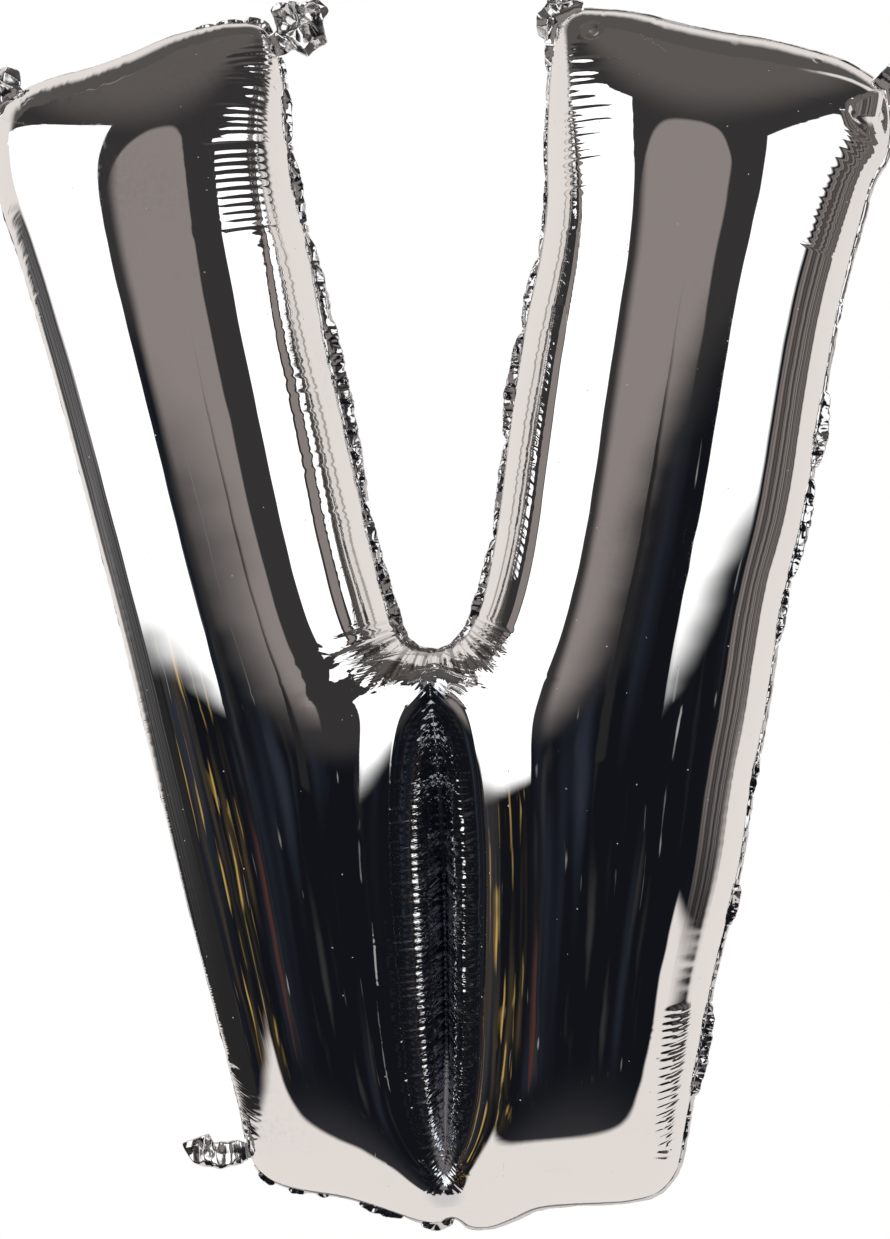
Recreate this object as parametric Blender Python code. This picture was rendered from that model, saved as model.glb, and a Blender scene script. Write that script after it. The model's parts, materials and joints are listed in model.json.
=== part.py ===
"""A letter foil balloon in the shape of a V: two inflated mirror films, the flange that seals them all
round, the weld that ties them along the foot, four corner tabs with hanging holes, and the filling neck.

Metres. +Z is up, the front faces -Y, and the flange lies in the plane y = 0. Each outline below runs
along the line where the film leaves the flange, as (x, z).
"""

import math

import bmesh
import bpy
import numpy as np
from mathutils import Vector
from mathutils.geometry import tessellate_polygon

# Outlines of the seal, where the films leave the flange, as (x, z). The two arms' outlines run down
# from their outer corners, INNER runs from the left arm's top round the crotch to the right arm's
# top, and FOOT runs from the right corner to the left.
OUTER_LEFT = (
    (-0.3207, 0.3480), (-0.3192, 0.3203), (-0.3149, 0.2918), (-0.3026, 0.2569), (-0.2924, 0.2241),
    (-0.2715, 0.1530), (-0.2448, 0.0538), (-0.2261, -0.0170), (-0.2089, -0.0877),
    (-0.1881, -0.1723), (-0.1702, -0.2427), (-0.1517, -0.3130), (-0.1438, -0.3446),
    (-0.1374, -0.3776),
)
TOP_LEFT = (
    (-0.3207, 0.3480), (-0.3141, 0.3621), (-0.3011, 0.3704), (-0.2852, 0.3779), (-0.2542, 0.3852),
    (-0.2297, 0.3925), (-0.2075, 0.4027), (-0.1845, 0.4101), (-0.1610, 0.4153), (-0.1403, 0.4170),
    (-0.1260, 0.4132), (-0.1189, 0.4025),
)
INNER = (
    (-0.1189, 0.4025), (-0.1139, 0.3771), (-0.1111, 0.3348), (-0.1011, 0.2805), (-0.0919, 0.2432),
    (-0.0827, 0.1939), (-0.0727, 0.1517), (-0.0550, 0.0673), (-0.0423, 0.0182), (-0.0324, -0.0113),
    (-0.0211, -0.0225), (-0.0049, -0.0253), (0.0113, -0.0189), (0.0232, -0.0008), (0.0302, 0.0216),
    (0.0386, 0.0670), (0.0492, 0.1508), (0.0611, 0.2205), (0.0695, 0.2588), (0.0723, 0.2867),
    (0.0723, 0.3251), (0.0744, 0.3739), (0.0786, 0.4115),
)
CROTCH = 11  # place of the crotch in INNER
TOP_RIGHT = (
    (0.3068, 0.3630), (0.2917, 0.3743), (0.2759, 0.3829), (0.2533, 0.3902), (0.2230, 0.3984),
    (0.2002, 0.4022), (0.1766, 0.4068), (0.1524, 0.4136), (0.1315, 0.4188), (0.1127, 0.4206),
    (0.0953, 0.4216), (0.0786, 0.4115),
)
OUTER_RIGHT = (
    (0.3068, 0.3630), (0.3095, 0.3422), (0.3068, 0.3181), (0.2945, 0.2941), (0.2890, 0.2700),
    (0.2794, 0.2356), (0.2691, 0.1873), (0.2629, 0.1493), (0.2498, 0.0664), (0.2354, 0.0082),
    (0.2236, -0.0673), (0.2147, -0.1138), (0.2064, -0.1693), (0.1981, -0.2075), (0.1870, -0.2527),
    (0.1808, -0.2910), (0.1732, -0.3293), (0.1676, -0.3606), (0.1635, -0.3822),
)
FOOT = (
    (0.1635, -0.3822), (0.1538, -0.3970), (0.1413, -0.4042), (0.1246, -0.4073), (0.1009, -0.4091),
    (0.0751, -0.4110), (0.0562, -0.4162), (0.0428, -0.4241), (0.0295, -0.4272), (0.0169, -0.4260),
    (0.0077, -0.4199), (-0.0028, -0.4243), (-0.0162, -0.4232), (-0.0353, -0.4172),
    (-0.0607, -0.4093), (-0.0791, -0.4054), (-0.0983, -0.4036), (-0.1175, -0.3984),
    (-0.1303, -0.3894), (-0.1374, -0.3776),
)
NOTCH = 10  # place of the notch between the two lobes in FOOT
CENTRE = (
    (-0.0049, -0.0253), (-0.0049, -0.0449), (-0.0014, -0.1009), (0.0014, -0.1988),
    (0.0028, -0.2968), (0.0042, -0.3976), (0.0077, -0.4199),
)

FILM = 0.002  # stands in for a film of about 0.04 mm
SEAL = 0.002  # thickness of the flange, of the weld and of the tabs
GAP = 0.0004  # between neighbouring pieces
FLANGE = 0.006  # width of the flange's free part
UNDERLAP = 0.0025  # how far the flange reaches in between the films
WELD_HALF = 0.003  # half the width of the weld down the middle

ACROSS = 12  # cells across an arm
# Shares of an arm's inner edge, from its top to the crotch, closer together where it curves.
ARM_SHARES = (
    0.0, 0.015, 0.045, 0.085, 0.135, 0.200, 0.275, 0.355, 0.435, 0.515, 0.590, 0.660, 0.725,
    0.780, 0.825, 0.862, 0.893, 0.920, 0.945, 0.970, 1.0,
)
# Shares of the centre line, from the crotch down. The weld lies between WELD_ROWS.
LOBE_SHARES = (
    0.0, 0.025, 0.050, 0.100, 0.170, 0.250, 0.340, 0.430, 0.520, 0.610, 0.700, 0.780, 0.850,
    0.905, 0.943, 0.972, 1.0,
)
WELD_ROWS = (2, 14)
ARM_ROWS = len(ARM_SHARES) - 1
CROTCH_SHARE = 0.59  # share of an outer edge that lies above the crotch's row

NEAR = 0.002  # a flange drops an outline's point that lies nearer than this to its end
LEAN_BACK = 75.0  # degrees that the top, foot and left outer flanges curl back
LEAN_INNER = 30.0
LEAN_RIGHT = 40.0
CROTCH_REACH = 0.060  # length of the crotch's flange to each side
FOOT_REACH = 0.035  # how far the foot's flange runs up the right side
NECK_ROOT = 0.0095  # bare outline to each side of the neck

# Each tab: the length of its root along its first and second outline, its free edge and its hole.
TAB_HOLE = 0.0025  # radius of a punched hanging hole
TAB_GAP = 0.0012  # between a tab and the flange next to it
HOLE_SIDES = 20
TAB_LEFT_OUTER = (
    0.010, 0.034,
    ((-0.3030, 0.3860), (-0.3140, 0.3900), (-0.3260, 0.3850), (-0.3320, 0.3700), (-0.3320, 0.3520)),
    (-0.3220, 0.3740),
)
TAB_LEFT_INNER = (
    0.008, 0.010,
    ((-0.0960, 0.3960), (-0.0830, 0.4060), (-0.0810, 0.4230), (-0.0900, 0.4330), (-0.1080, 0.4330),
     (-0.1240, 0.4260)),
    (-0.0950, 0.4200),
)
TAB_RIGHT_INNER = (
    0.014, 0.022,
    ((0.0860, 0.4330), (0.0720, 0.4310), (0.0650, 0.4200), (0.0650, 0.4060)),
    (0.0730, 0.4210),
)
TAB_RIGHT_OUTER = (
    0.012, 0.012,
    ((0.3240, 0.3600), (0.3250, 0.3740), (0.3160, 0.3840)),
    (0.3160, 0.3700),
)

# Centre line of the neck from the outline outwards, and of the valve film from there inwards.
NECK = (
    (-0.1412, -0.3770), (-0.1500, -0.3785), (-0.1610, -0.3800), (-0.1710, -0.3775), (-0.1775, -0.3690),
)
NECK_WIDTH = 0.016
NECK_DEPTH = 0.0034
NECK_WALL = 0.0009
VALVE = ((-0.1300, -0.3740), (-0.1160, -0.3670), (-0.1040, -0.3520), (-0.0980, -0.3300))
VALVE_START = 10  # sample of the neck's path that the valve film reaches
VALVE_WIDTH = 0.011
VALVE_FILM = 0.0008
CURVE_STEPS = 8  # points of a smooth curve for each span of its outline


def clear_scene():
    """Removes every object of the start-up scene."""
    for obj in list(bpy.data.objects):
        bpy.data.objects.remove(obj)


def finish(name, mesh, colour, roughness, metallic):
    """Adds the mesh to the scene as one named object with a material of its own."""
    material = bpy.data.materials.new(name)
    material.use_nodes = True
    shader = material.node_tree.nodes["Principled BSDF"]
    shader.inputs["Base Color"].default_value = (*colour, 1.0)
    shader.inputs["Roughness"].default_value = roughness
    shader.inputs["Metallic"].default_value = metallic
    mesh.materials.append(material)
    obj = bpy.data.objects.new(name, mesh)
    bpy.context.scene.collection.objects.link(obj)
    return obj


def solid(name, points, faces, colour=(0.80, 0.80, 0.82), roughness=0.12, metallic=1.0):
    """Makes a closed mesh with its faces turned outwards."""
    mesh = bpy.data.meshes.new(name)
    mesh.from_pydata([tuple(p) for p in points], [], faces)
    work = bmesh.new()
    work.from_mesh(mesh)
    bmesh.ops.recalc_face_normals(work, faces=work.faces)
    work.to_mesh(mesh)
    work.free()
    return finish(name, mesh, colour, roughness, metallic)


def smooth_curve(points, steps=CURVE_STEPS):
    """A Catmull-Rom curve through the points, as an array of many points."""
    p = np.array(points, float)
    p = np.vstack([2 * p[0] - p[1], p, 2 * p[-1] - p[-2]])
    t = np.linspace(0.0, 1.0, steps, endpoint=False)[:, None]
    spans = [
        0.5 * (2 * b + (c - a) * t + (2 * a - 5 * b + 4 * c - d) * t**2 + (3 * b - a - 3 * c + d) * t**3)
        for a, b, c, d in zip(p[:-3], p[1:-2], p[2:-1], p[3:])
    ]
    return np.vstack([*spans, p[-2:-1]])


def parted(points, middle):
    """The curve through the points as two curves that both end at the middle point."""
    curve = smooth_curve(points)
    return curve[: middle * CURVE_STEPS + 1], curve[middle * CURVE_STEPS :][::-1]


def along(curve, shares):
    """Points of the curve at these shares of its length."""
    length = np.concatenate([[0.0], np.cumsum(np.linalg.norm(np.diff(curve, axis=0), axis=1))])
    at = np.asarray(shares) * length[-1]
    return np.stack([np.interp(at, length, curve[:, k]) for k in range(2)], axis=1)


def eased_ends(cells):
    """Shares from 0 to 1 that lie closer together at both ends, where an arm's section is round."""
    return (1 - np.cos(math.pi * np.linspace(0.0, 1.0, cells + 1))) / 2


def row_shares():
    """Shares of the arm's inner edge, of the centre line and of the outer edge, row by row."""
    arm, lobe = np.array(ARM_SHARES), np.array(LOBE_SHARES)
    even = np.linspace(0.0, 1.0, len(arm))
    above = 0.5 * arm + 0.5 * (0.7 * even + 0.3 * even**1.6)
    even = np.linspace(0.0, 1.0, len(lobe))
    below = 0.5 * lobe + 0.5 * (0.75 * even + 0.25 * np.sin(math.pi / 2 * even))
    outer = np.concatenate([CROTCH_SHARE * above, CROTCH_SHARE + (1 - CROTCH_SHARE) * below[1:]])
    return arm, lobe, outer


def coons(left, right, top, bottom, across):
    """A grid of points between four edges that share their corners."""
    rows = len(left)
    s = np.linspace(0.0, 1.0, rows)[:, None, None]
    t = across[None, :, None]
    ruled = (1 - t) * left[:, None] + t * right[:, None] + (1 - s) * top[None] + s * bottom[None]
    corners = (
        (1 - s) * ((1 - t) * top[0] + t * top[-1]) + s * ((1 - t) * bottom[0] + t * bottom[-1])
    )
    return ruled - corners


class Sheet:
    """The flat pattern of one film: a left and a right half that share the centre line."""

    def __init__(self):
        arm, lobe, outer = row_shares()
        across = eased_ends(ACROSS)
        self.rows = len(outer)
        centre = along(smooth_curve(CENTRE), lobe)
        halves = []
        inner_left, inner_right = parted(INNER, CROTCH)
        outer_right, foot = parted(OUTER_RIGHT + FOOT[1:], len(OUTER_RIGHT) - 1)
        notch = NOTCH * CURVE_STEPS
        foot_right, foot_left = foot[::-1][: notch + 1], foot[:-notch]
        for outer_run, inner_run, top_run, foot_run in (
            (smooth_curve(OUTER_LEFT), inner_left, TOP_LEFT, foot_left),
            (outer_right, inner_right, TOP_RIGHT, foot_right),
        ):
            halves.append(
                coons(
                    along(outer_run, outer),
                    np.vstack([along(inner_run, arm), centre[1:]]),
                    along(smooth_curve(top_run), across),
                    along(foot_run, across),
                    across,
                )
            )
        columns = ACROSS + 1
        left = np.arange(self.rows * columns).reshape(self.rows, columns)
        right = left + left.size
        right[ARM_ROWS:, -1] = left[ARM_ROWS:, -1]
        self.grids = (left, right)
        self.points = np.vstack([half.reshape(-1, 2) for half in halves])
        first, last = WELD_ROWS
        self.weld = left[ARM_ROWS + first : ARM_ROWS + last + 1, -1]
        self.faces = [
            quad if side == 0 else quad[::-1]
            for side, grid in enumerate(self.grids)
            for quad in np.stack(
                [grid[:-1, :-1], grid[:-1, 1:], grid[1:, 1:], grid[1:, :-1]], axis=-1
            ).reshape(-1, 4)
        ]
        self.edge = self.outline()
        self.used = np.unique(np.array(self.faces))

    def outline(self):
        """The points of the outline in order, once round the letter."""
        left, right = self.grids
        return np.concatenate(
            [
                left[:-1, 0], left[-1, :-1], right[-1, ::-1], right[-2::-1, 0],
                right[0, 1:], right[1:ARM_ROWS, -1], left[ARM_ROWS:0:-1, -1], left[0, :0:-1],
            ]
        )

    def run(self, which):
        """One stretch of the outline as the films' own points, from an outer corner onwards."""
        left, right = self.grids
        order = {
            "outer_left": left[:, 0],
            "top_left": left[0],
            "inner": np.concatenate([left[: ARM_ROWS + 1, -1], right[ARM_ROWS - 1 :: -1, -1]]),
            "top_right": right[0],
            "outer_right": np.concatenate([right[:, 0], right[-1, 1:], left[-1, -2::-1]]),
        }[which]
        return self.points[order]

    def height(self):
        """Half thickness of the inflated letter at each point.

        Solves for the membrane height u with -laplacian(u) = 2 and u = 0 on the seal, and takes its
        square root, so that a long straight arm comes out as a round tube.
        """
        points = self.points
        stiff = np.zeros((len(points), len(points)))
        load = np.zeros(len(points))
        for quad in self.faces:
            for corner in ((0, 1, 2), (0, 2, 3), (0, 1, 3), (1, 2, 3)):
                i = quad[list(corner)]
                p = points[i]
                edges = np.roll(p, -2, axis=0) - np.roll(p, -1, axis=0)
                area = abs(np.cross(p[1] - p[0], p[2] - p[0])) / 2
                if area < 1e-12:
                    continue
                stiff[np.ix_(i, i)] += edges @ edges.T / (8 * area)
                load[i] += area / 3
        fixed = np.zeros(len(points), bool)
        fixed[self.edge] = True
        fixed[self.weld] = True
        unused = np.ones(len(points), bool)
        unused[self.used] = False
        free = ~(fixed | unused)
        u = np.zeros(len(points))
        u[free] = np.linalg.solve(stiff[np.ix_(free, free)], load[free])
        return np.sqrt(np.maximum(u, 0.0))


def inward(points, order, distance):
    """The outline moved inwards by this distance."""
    p = points[order]
    chord = np.roll(p, -1, axis=0) - np.roll(p, 1, axis=0)
    normal = np.stack([-chord[:, 1], chord[:, 0]], axis=1)
    normal /= np.linalg.norm(normal, axis=1)[:, None]
    area = np.sum(p[:, 0] * np.roll(p[:, 1], -1) - np.roll(p[:, 0], -1) * p[:, 1])
    return p + normal * distance * np.sign(area)


def film(name, sheet, height, side):
    """One inflated film as a shell with an open rim; side is -1 for the front and 1 for the back."""
    rim = SEAL / 2 + GAP
    points = sheet.points
    count = len(points)
    outer = np.stack([points[:, 0], height + rim, points[:, 1]], axis=1)
    outer[sheet.weld, 1] += FILM
    mesh = bpy.data.meshes.new("pattern")
    mesh.from_pydata([tuple(p) for p in outer], [], [tuple(int(k) for k in f) for f in sheet.faces])
    normals = np.array([v.normal for v in mesh.vertices])
    bpy.data.meshes.remove(mesh)
    normals[normals[:, 1] < 0] *= -1
    inner = outer - normals * FILM
    inner[:, 1] = np.maximum(inner[:, 1], rim)
    moved = inward(points, sheet.edge, FILM)
    inner[sheet.edge] = np.stack([moved[:, 0], np.full(len(moved), rim), moved[:, 1]], axis=1)
    ends = sheet.weld[[0, -1]]
    inner[ends] = outer[ends] - [0, FILM, 0]

    # Along the weld the inner skin parts, so each lobe gets its own point there.
    twin = {int(k): count * 2 + n for n, k in enumerate(sheet.weld[1:-1])}
    split = []
    tangent = np.gradient(points[sheet.weld], axis=0)
    across = np.stack([-tangent[:, 1], tangent[:, 0]], axis=1)
    across /= np.linalg.norm(across, axis=1)[:, None]
    for n, k in enumerate(sheet.weld[1:-1], start=1):
        step = across[n] * FILM
        to_right = step if step[0] > 0 else -step
        inner[k] = [points[k, 0] - to_right[0], rim, points[k, 1] - to_right[1]]
        split.append([points[k, 0] + to_right[0], rim, points[k, 1] + to_right[1]])
    every = np.vstack([outer, inner, split])
    every[:, 1] *= side

    half = len(sheet.faces) // 2
    faces = [tuple(int(k) for k in f) for f in sheet.faces]
    for n, quad in enumerate(sheet.faces):
        below = [int(k) + count for k in quad]
        if n >= half:
            below = [twin.get(k - count, k) for k in below]
        faces.append(tuple(below[::-1]))
    ring = [int(k) for k in sheet.edge]
    for a, b in zip(ring, ring[1:] + ring[:1]):
        faces.append((a, b, b + count, a + count))
    for a, b in zip(sheet.weld[:-1], sheet.weld[1:]):
        left = [int(a) + count, int(b) + count]
        right = [twin.get(int(b), int(b) + count), twin.get(int(a), int(a) + count)]
        corners = list(dict.fromkeys(left + right))
        if len(corners) > 2:
            faces.append(tuple(corners))
    used = sorted({k for f in faces for k in f})
    slot = {k: n for n, k in enumerate(used)}
    return solid(name, every[used], [tuple(slot[k] for k in f) for f in faces])


def length_of(curve):
    """Length of a curve."""
    return float(np.linalg.norm(np.diff(curve, axis=0), axis=1).sum())


def outwards(line, side):
    """Unit vectors across the line, to its right for side 1 and to its left for side -1."""
    tangent = np.gradient(line, axis=0)
    tangent /= np.linalg.norm(tangent, axis=1)[:, None]
    return np.stack([tangent[:, 1], -tangent[:, 0]], axis=1) * side


def across_at(curve, shares, side):
    """The same as outwards, for points at these shares of a curve."""
    tangent = along(curve, shares + 0.004) - along(curve, shares - 0.004)
    tangent /= np.linalg.norm(tangent, axis=1)[:, None]
    return np.stack([tangent[:, 1], -tangent[:, 0]], axis=1) * side


def sweep(name, line, across, section, **look):
    """A closed section, given as (across, depth) points, carried along a line in the letter's plane."""
    points = [(p[0] + n[0] * d, y, p[1] + n[1] * d) for p, n in zip(line, across) for d, y in section]
    sides = len(section)
    faces = [tuple(range(sides)), tuple(range(len(points) - sides, len(points)))]
    for row in range(len(line) - 1):
        for k in range(sides):
            a, b = row * sides + k, row * sides + (k + 1) % sides
            faces.append((a, b, b + sides, a + sides))
    return solid(name, points, faces, **look)


def flange(name, curve, start, end, side, lean):
    """A stretch of flange between two distances along an outline, its free part leaning back."""
    length = length_of(curve)
    shares = np.concatenate([[0.0], np.cumsum(np.linalg.norm(np.diff(curve, axis=0), axis=1))]) / length
    inside = (shares > (start + NEAR) / length) & (shares < (end - NEAR) / length)
    shares = np.concatenate([[start / length], shares[inside], [end / length]])
    out, back = math.cos(math.radians(lean)), math.sin(math.radians(lean))
    half = SEAL / 2
    shift = half * math.tan(math.radians(lean) / 2)
    tip = (FILM + FLANGE * out, FLANGE * back)
    section = [
        (-UNDERLAP, -half), (FILM + shift, -half), (tip[0] + half * back, tip[1] - half * out),
        (tip[0] - half * back, tip[1] + half * out), (FILM - shift, half), (-UNDERLAP, half),
    ]
    return sweep(name, along(curve, shares), across_at(curve, shares, side), section, roughness=0.25)


def plate(name, outline, hole):
    """A flat piece in the plane of the letter with one round hole."""
    turn = np.linspace(0.0, 2 * math.pi, HOLE_SIDES, endpoint=False)
    ring = np.array(hole) + TAB_HOLE * np.stack([np.cos(turn), np.sin(turn)], axis=1)
    loops = [[Vector((x, z, 0.0)) for x, z in loop] for loop in (outline, ring)]
    flat = tessellate_polygon(loops)
    count = len(outline) + len(ring)
    points = [(p.x, y, p.y) for y in (-SEAL / 2, SEAL / 2) for loop in loops for p in loop]
    faces = [tuple(t) for t in flat] + [tuple(k + count for k in t)[::-1] for t in flat]
    for first, size in ((0, len(outline)), (len(outline), len(ring))):
        for k in range(size):
            a, b = first + k, first + (k + 1) % size
            faces.append((a, b, b + count, a + count))
    return solid(name, points, faces, roughness=0.25)


def corner_tab(name, one, two, shape):
    """A corner tab whose root follows both outlines from their shared corner.

    Each of one and two is a curve that starts at the corner and the side of its outward direction.
    """
    *lengths, tip, hole = shape
    roots, rims = [], []
    for (curve, side), length in zip((one, two), lengths):
        shares = np.linspace(0.0, (length - TAB_GAP) / length_of(curve), 4)
        line, across = along(curve, shares), across_at(curve, shares, side)
        roots.append(line - across * UNDERLAP)
        rims.append(line[-1] + across[-1] * (FILM + FLANGE))
    corner = (roots[0][0] + roots[1][0]) / 2
    root = [*roots[0][:0:-1], corner, *roots[1][1:]]
    return plate(name, [tuple(p) for p in (*root, rims[1], *tip, rims[0])], hole)


def neck():
    """The filling neck, an open flat sleeve at the lower left corner, and the valve film inside it."""
    path = smooth_curve(NECK, 4)
    across = outwards(path, 1)
    rows = len(path)
    corners = ((-1, -1), (1, -1), (1, 1), (-1, 1))
    points, faces = [], []
    for wall in (0.0, NECK_WALL):
        width, depth = NECK_WIDTH / 2 - wall, NECK_DEPTH / 2 - wall
        points += [
            (p[0] + n[0] * s * width, t * depth, p[1] + n[1] * s * width)
            for p, n in zip(path, across)
            for s, t in corners
        ]
    for layer in range(2):
        for row in range(rows - 1):
            first = (layer * rows + row) * 4
            faces += [
                (first + k, first + (k + 1) % 4, first + (k + 1) % 4 + 4, first + k + 4)
                for k in range(4)
            ]
    for first in (0, (rows - 1) * 4):
        faces += [
            (first + k, first + (k + 1) % 4, first + (k + 1) % 4 + rows * 4, first + k + rows * 4)
            for k in range(4)
        ]
    solid("inflation_neck", points, faces, roughness=0.25)

    line = np.vstack([path[VALVE_START::-1], np.array(VALVE)])
    half, thin = VALVE_WIDTH / 2, VALVE_FILM / 2
    section = [(-half, -thin), (half, -thin), (half, thin), (-half, thin)]
    look = {"colour": (0.75, 0.76, 0.78), "roughness": 0.3, "metallic": 0.0}
    sweep("valve_film", line, outwards(line, 1), section, **look)


def build():
    """Makes every piece."""
    clear_scene()
    sheet = Sheet()
    height = sheet.height()
    film("front_film", sheet, height, -1)
    film("back_film", sheet, height, 1)

    outer_left, top_left = sheet.run("outer_left"), sheet.run("top_left")
    inner, top_right = sheet.run("inner"), sheet.run("top_right")
    outer_right = sheet.run("outer_right")
    crotch = length_of(inner[: ARM_ROWS + 1])
    turn = length_of(outer_right[: sheet.rows]) - FOOT_REACH
    left, right = crotch - CROTCH_REACH, crotch + CROTCH_REACH
    end = {id(c): length_of(c) for c in (outer_left, top_left, inner, top_right, outer_right)}
    for name, curve, start, stop, side, lean in (
        ("seam_outer_left", outer_left, TAB_LEFT_OUTER[0], end[id(outer_left)] - NECK_ROOT, 1, LEAN_BACK),
        ("seam_top_left", top_left, TAB_LEFT_OUTER[1], end[id(top_left)] - TAB_LEFT_INNER[0], -1, LEAN_BACK),
        ("seam_inner_left", inner, TAB_LEFT_INNER[1], left - GAP, -1, LEAN_INNER),
        ("seam_crotch", inner, left, right, -1, LEAN_INNER),
        ("seam_inner_right", inner, right + GAP, end[id(inner)] - TAB_RIGHT_INNER[0], -1, LEAN_INNER),
        ("seam_top_right", top_right, TAB_RIGHT_OUTER[0], end[id(top_right)] - TAB_RIGHT_INNER[1], 1, LEAN_BACK),
        ("seam_outer_right", outer_right, TAB_RIGHT_OUTER[1], turn - GAP, -1, LEAN_RIGHT),
        ("seam_foot", outer_right, turn, end[id(outer_right)] - NECK_ROOT, -1, LEAN_BACK),
    ):
        flange(name, curve, start, stop, side, lean)

    line = sheet.points[sheet.weld]
    half = SEAL / 2
    section = [(-WELD_HALF, -half), (WELD_HALF, -half), (WELD_HALF, half), (-WELD_HALF, half)]
    sweep("centre_weld", line, outwards(line, 1), section, roughness=0.25)

    corner_tab("tab_left_outer", (outer_left, 1), (top_left, -1), TAB_LEFT_OUTER)
    corner_tab("tab_left_inner", (top_left[::-1], 1), (inner, -1), TAB_LEFT_INNER)
    corner_tab("tab_right_inner", (inner[::-1], 1), (top_right[::-1], -1), TAB_RIGHT_INNER)
    corner_tab("tab_right_outer", (top_right, 1), (outer_right, -1), TAB_RIGHT_OUTER)
    neck()


build()
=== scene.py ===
"""Looks of the silver letter balloon: the two mirror films with their puckers, the crinkled flange, the
corner tabs, the filling neck, and the studio with its camera.

Metres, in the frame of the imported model: +Z is up, the front faces -Y and the flange lies at y = 0.
"""

import json
import logging
import math
from dataclasses import dataclass, field
from enum import Enum
from functools import reduce

import bpy
import numpy as np
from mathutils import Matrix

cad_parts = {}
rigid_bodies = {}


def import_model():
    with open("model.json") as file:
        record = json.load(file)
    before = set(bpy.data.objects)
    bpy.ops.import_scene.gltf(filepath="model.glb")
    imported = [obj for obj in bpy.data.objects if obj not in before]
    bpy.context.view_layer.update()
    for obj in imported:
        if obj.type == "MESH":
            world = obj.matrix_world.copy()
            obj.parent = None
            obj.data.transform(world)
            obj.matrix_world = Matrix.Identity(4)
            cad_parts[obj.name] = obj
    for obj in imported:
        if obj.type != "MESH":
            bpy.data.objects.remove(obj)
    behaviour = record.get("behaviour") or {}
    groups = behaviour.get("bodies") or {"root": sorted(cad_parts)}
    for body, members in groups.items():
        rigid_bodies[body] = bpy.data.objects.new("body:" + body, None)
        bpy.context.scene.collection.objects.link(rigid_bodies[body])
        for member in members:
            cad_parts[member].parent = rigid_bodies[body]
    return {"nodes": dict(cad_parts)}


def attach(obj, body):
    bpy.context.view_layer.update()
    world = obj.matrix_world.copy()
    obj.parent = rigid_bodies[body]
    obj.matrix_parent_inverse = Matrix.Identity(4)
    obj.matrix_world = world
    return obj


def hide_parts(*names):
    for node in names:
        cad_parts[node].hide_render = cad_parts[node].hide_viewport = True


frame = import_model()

logging.basicConfig(level=logging.INFO, format="%(name)s: %(message)s")
log = logging.getLogger("balloon")

PHOTO_SIZE = (890, 1239)

# Shorthands for the type hints.
Pair = tuple[float, float]
Triple = tuple[float, float, float]
Socket = bpy.types.NodeSocket


class Side(Enum):
    """The two films, with the sign of the y axis that each bulges towards."""

    FRONT = -1
    BACK = 1


class Run(Enum):
    """Stretches of the outline between its corners, in order round the letter, and the weld's two sides."""

    OUTER_LEFT = 0
    FOOT_LEFT = 1
    FOOT_RIGHT = 2
    OUTER_RIGHT = 3
    TOP_RIGHT = 4
    INNER_RIGHT = 5
    INNER_LEFT = 6
    TOP_LEFT = 7
    WELD_LEFT = 8
    WELD_RIGHT = 9


# Corners of the outline as (x, z), each where one run ends and the next starts.
CORNERS = {
    Run.OUTER_LEFT: (-0.3207, 0.3480),
    Run.FOOT_LEFT: (-0.1374, -0.3776),
    Run.FOOT_RIGHT: (0.0077, -0.4199),
    Run.OUTER_RIGHT: (0.1635, -0.3822),
    Run.TOP_RIGHT: (0.3068, 0.3630),
    Run.INNER_RIGHT: (0.0786, 0.4115),
    Run.INNER_LEFT: (-0.0049, -0.0253),
    Run.TOP_LEFT: (-0.1189, 0.4025),
}
OUTLINE = tuple(CORNERS)
LEVEL = (Run.TOP_LEFT, Run.TOP_RIGHT, Run.FOOT_LEFT, Run.FOOT_RIGHT)  # places on these are x, on others z


def node_vertices(name: str) -> tuple[np.ndarray, np.ndarray]:
    """Vertices and triangles of a CAD node, with its doubled vertices merged.

    Args:
        name: name of the node.

    Returns:
        The points as rows of (x, y, z), and the triangles as rows of three indices.
    """
    mesh = frame["nodes"][name].data
    raw = np.empty(len(mesh.vertices) * 3)
    mesh.vertices.foreach_get("co", raw)
    mesh.calc_loop_triangles()
    corners = np.empty(len(mesh.loop_triangles) * 3, int)
    mesh.loop_triangles.foreach_get("vertices", corners)
    points, where = np.unique(np.round(raw.reshape(-1, 3), 6), axis=0, return_inverse=True)
    return points, where.ravel()[corners.reshape(-1, 3)]


def enclosed(loop: np.ndarray) -> float:
    """Signed area inside a loop of (x, z), positive where it runs counter-clockwise seen from the front."""
    return 0.5 * float(np.sum(loop[:, 0] * np.roll(loop[:, 1], -1) - np.roll(loop[:, 0], -1) * loop[:, 1]))


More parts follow.
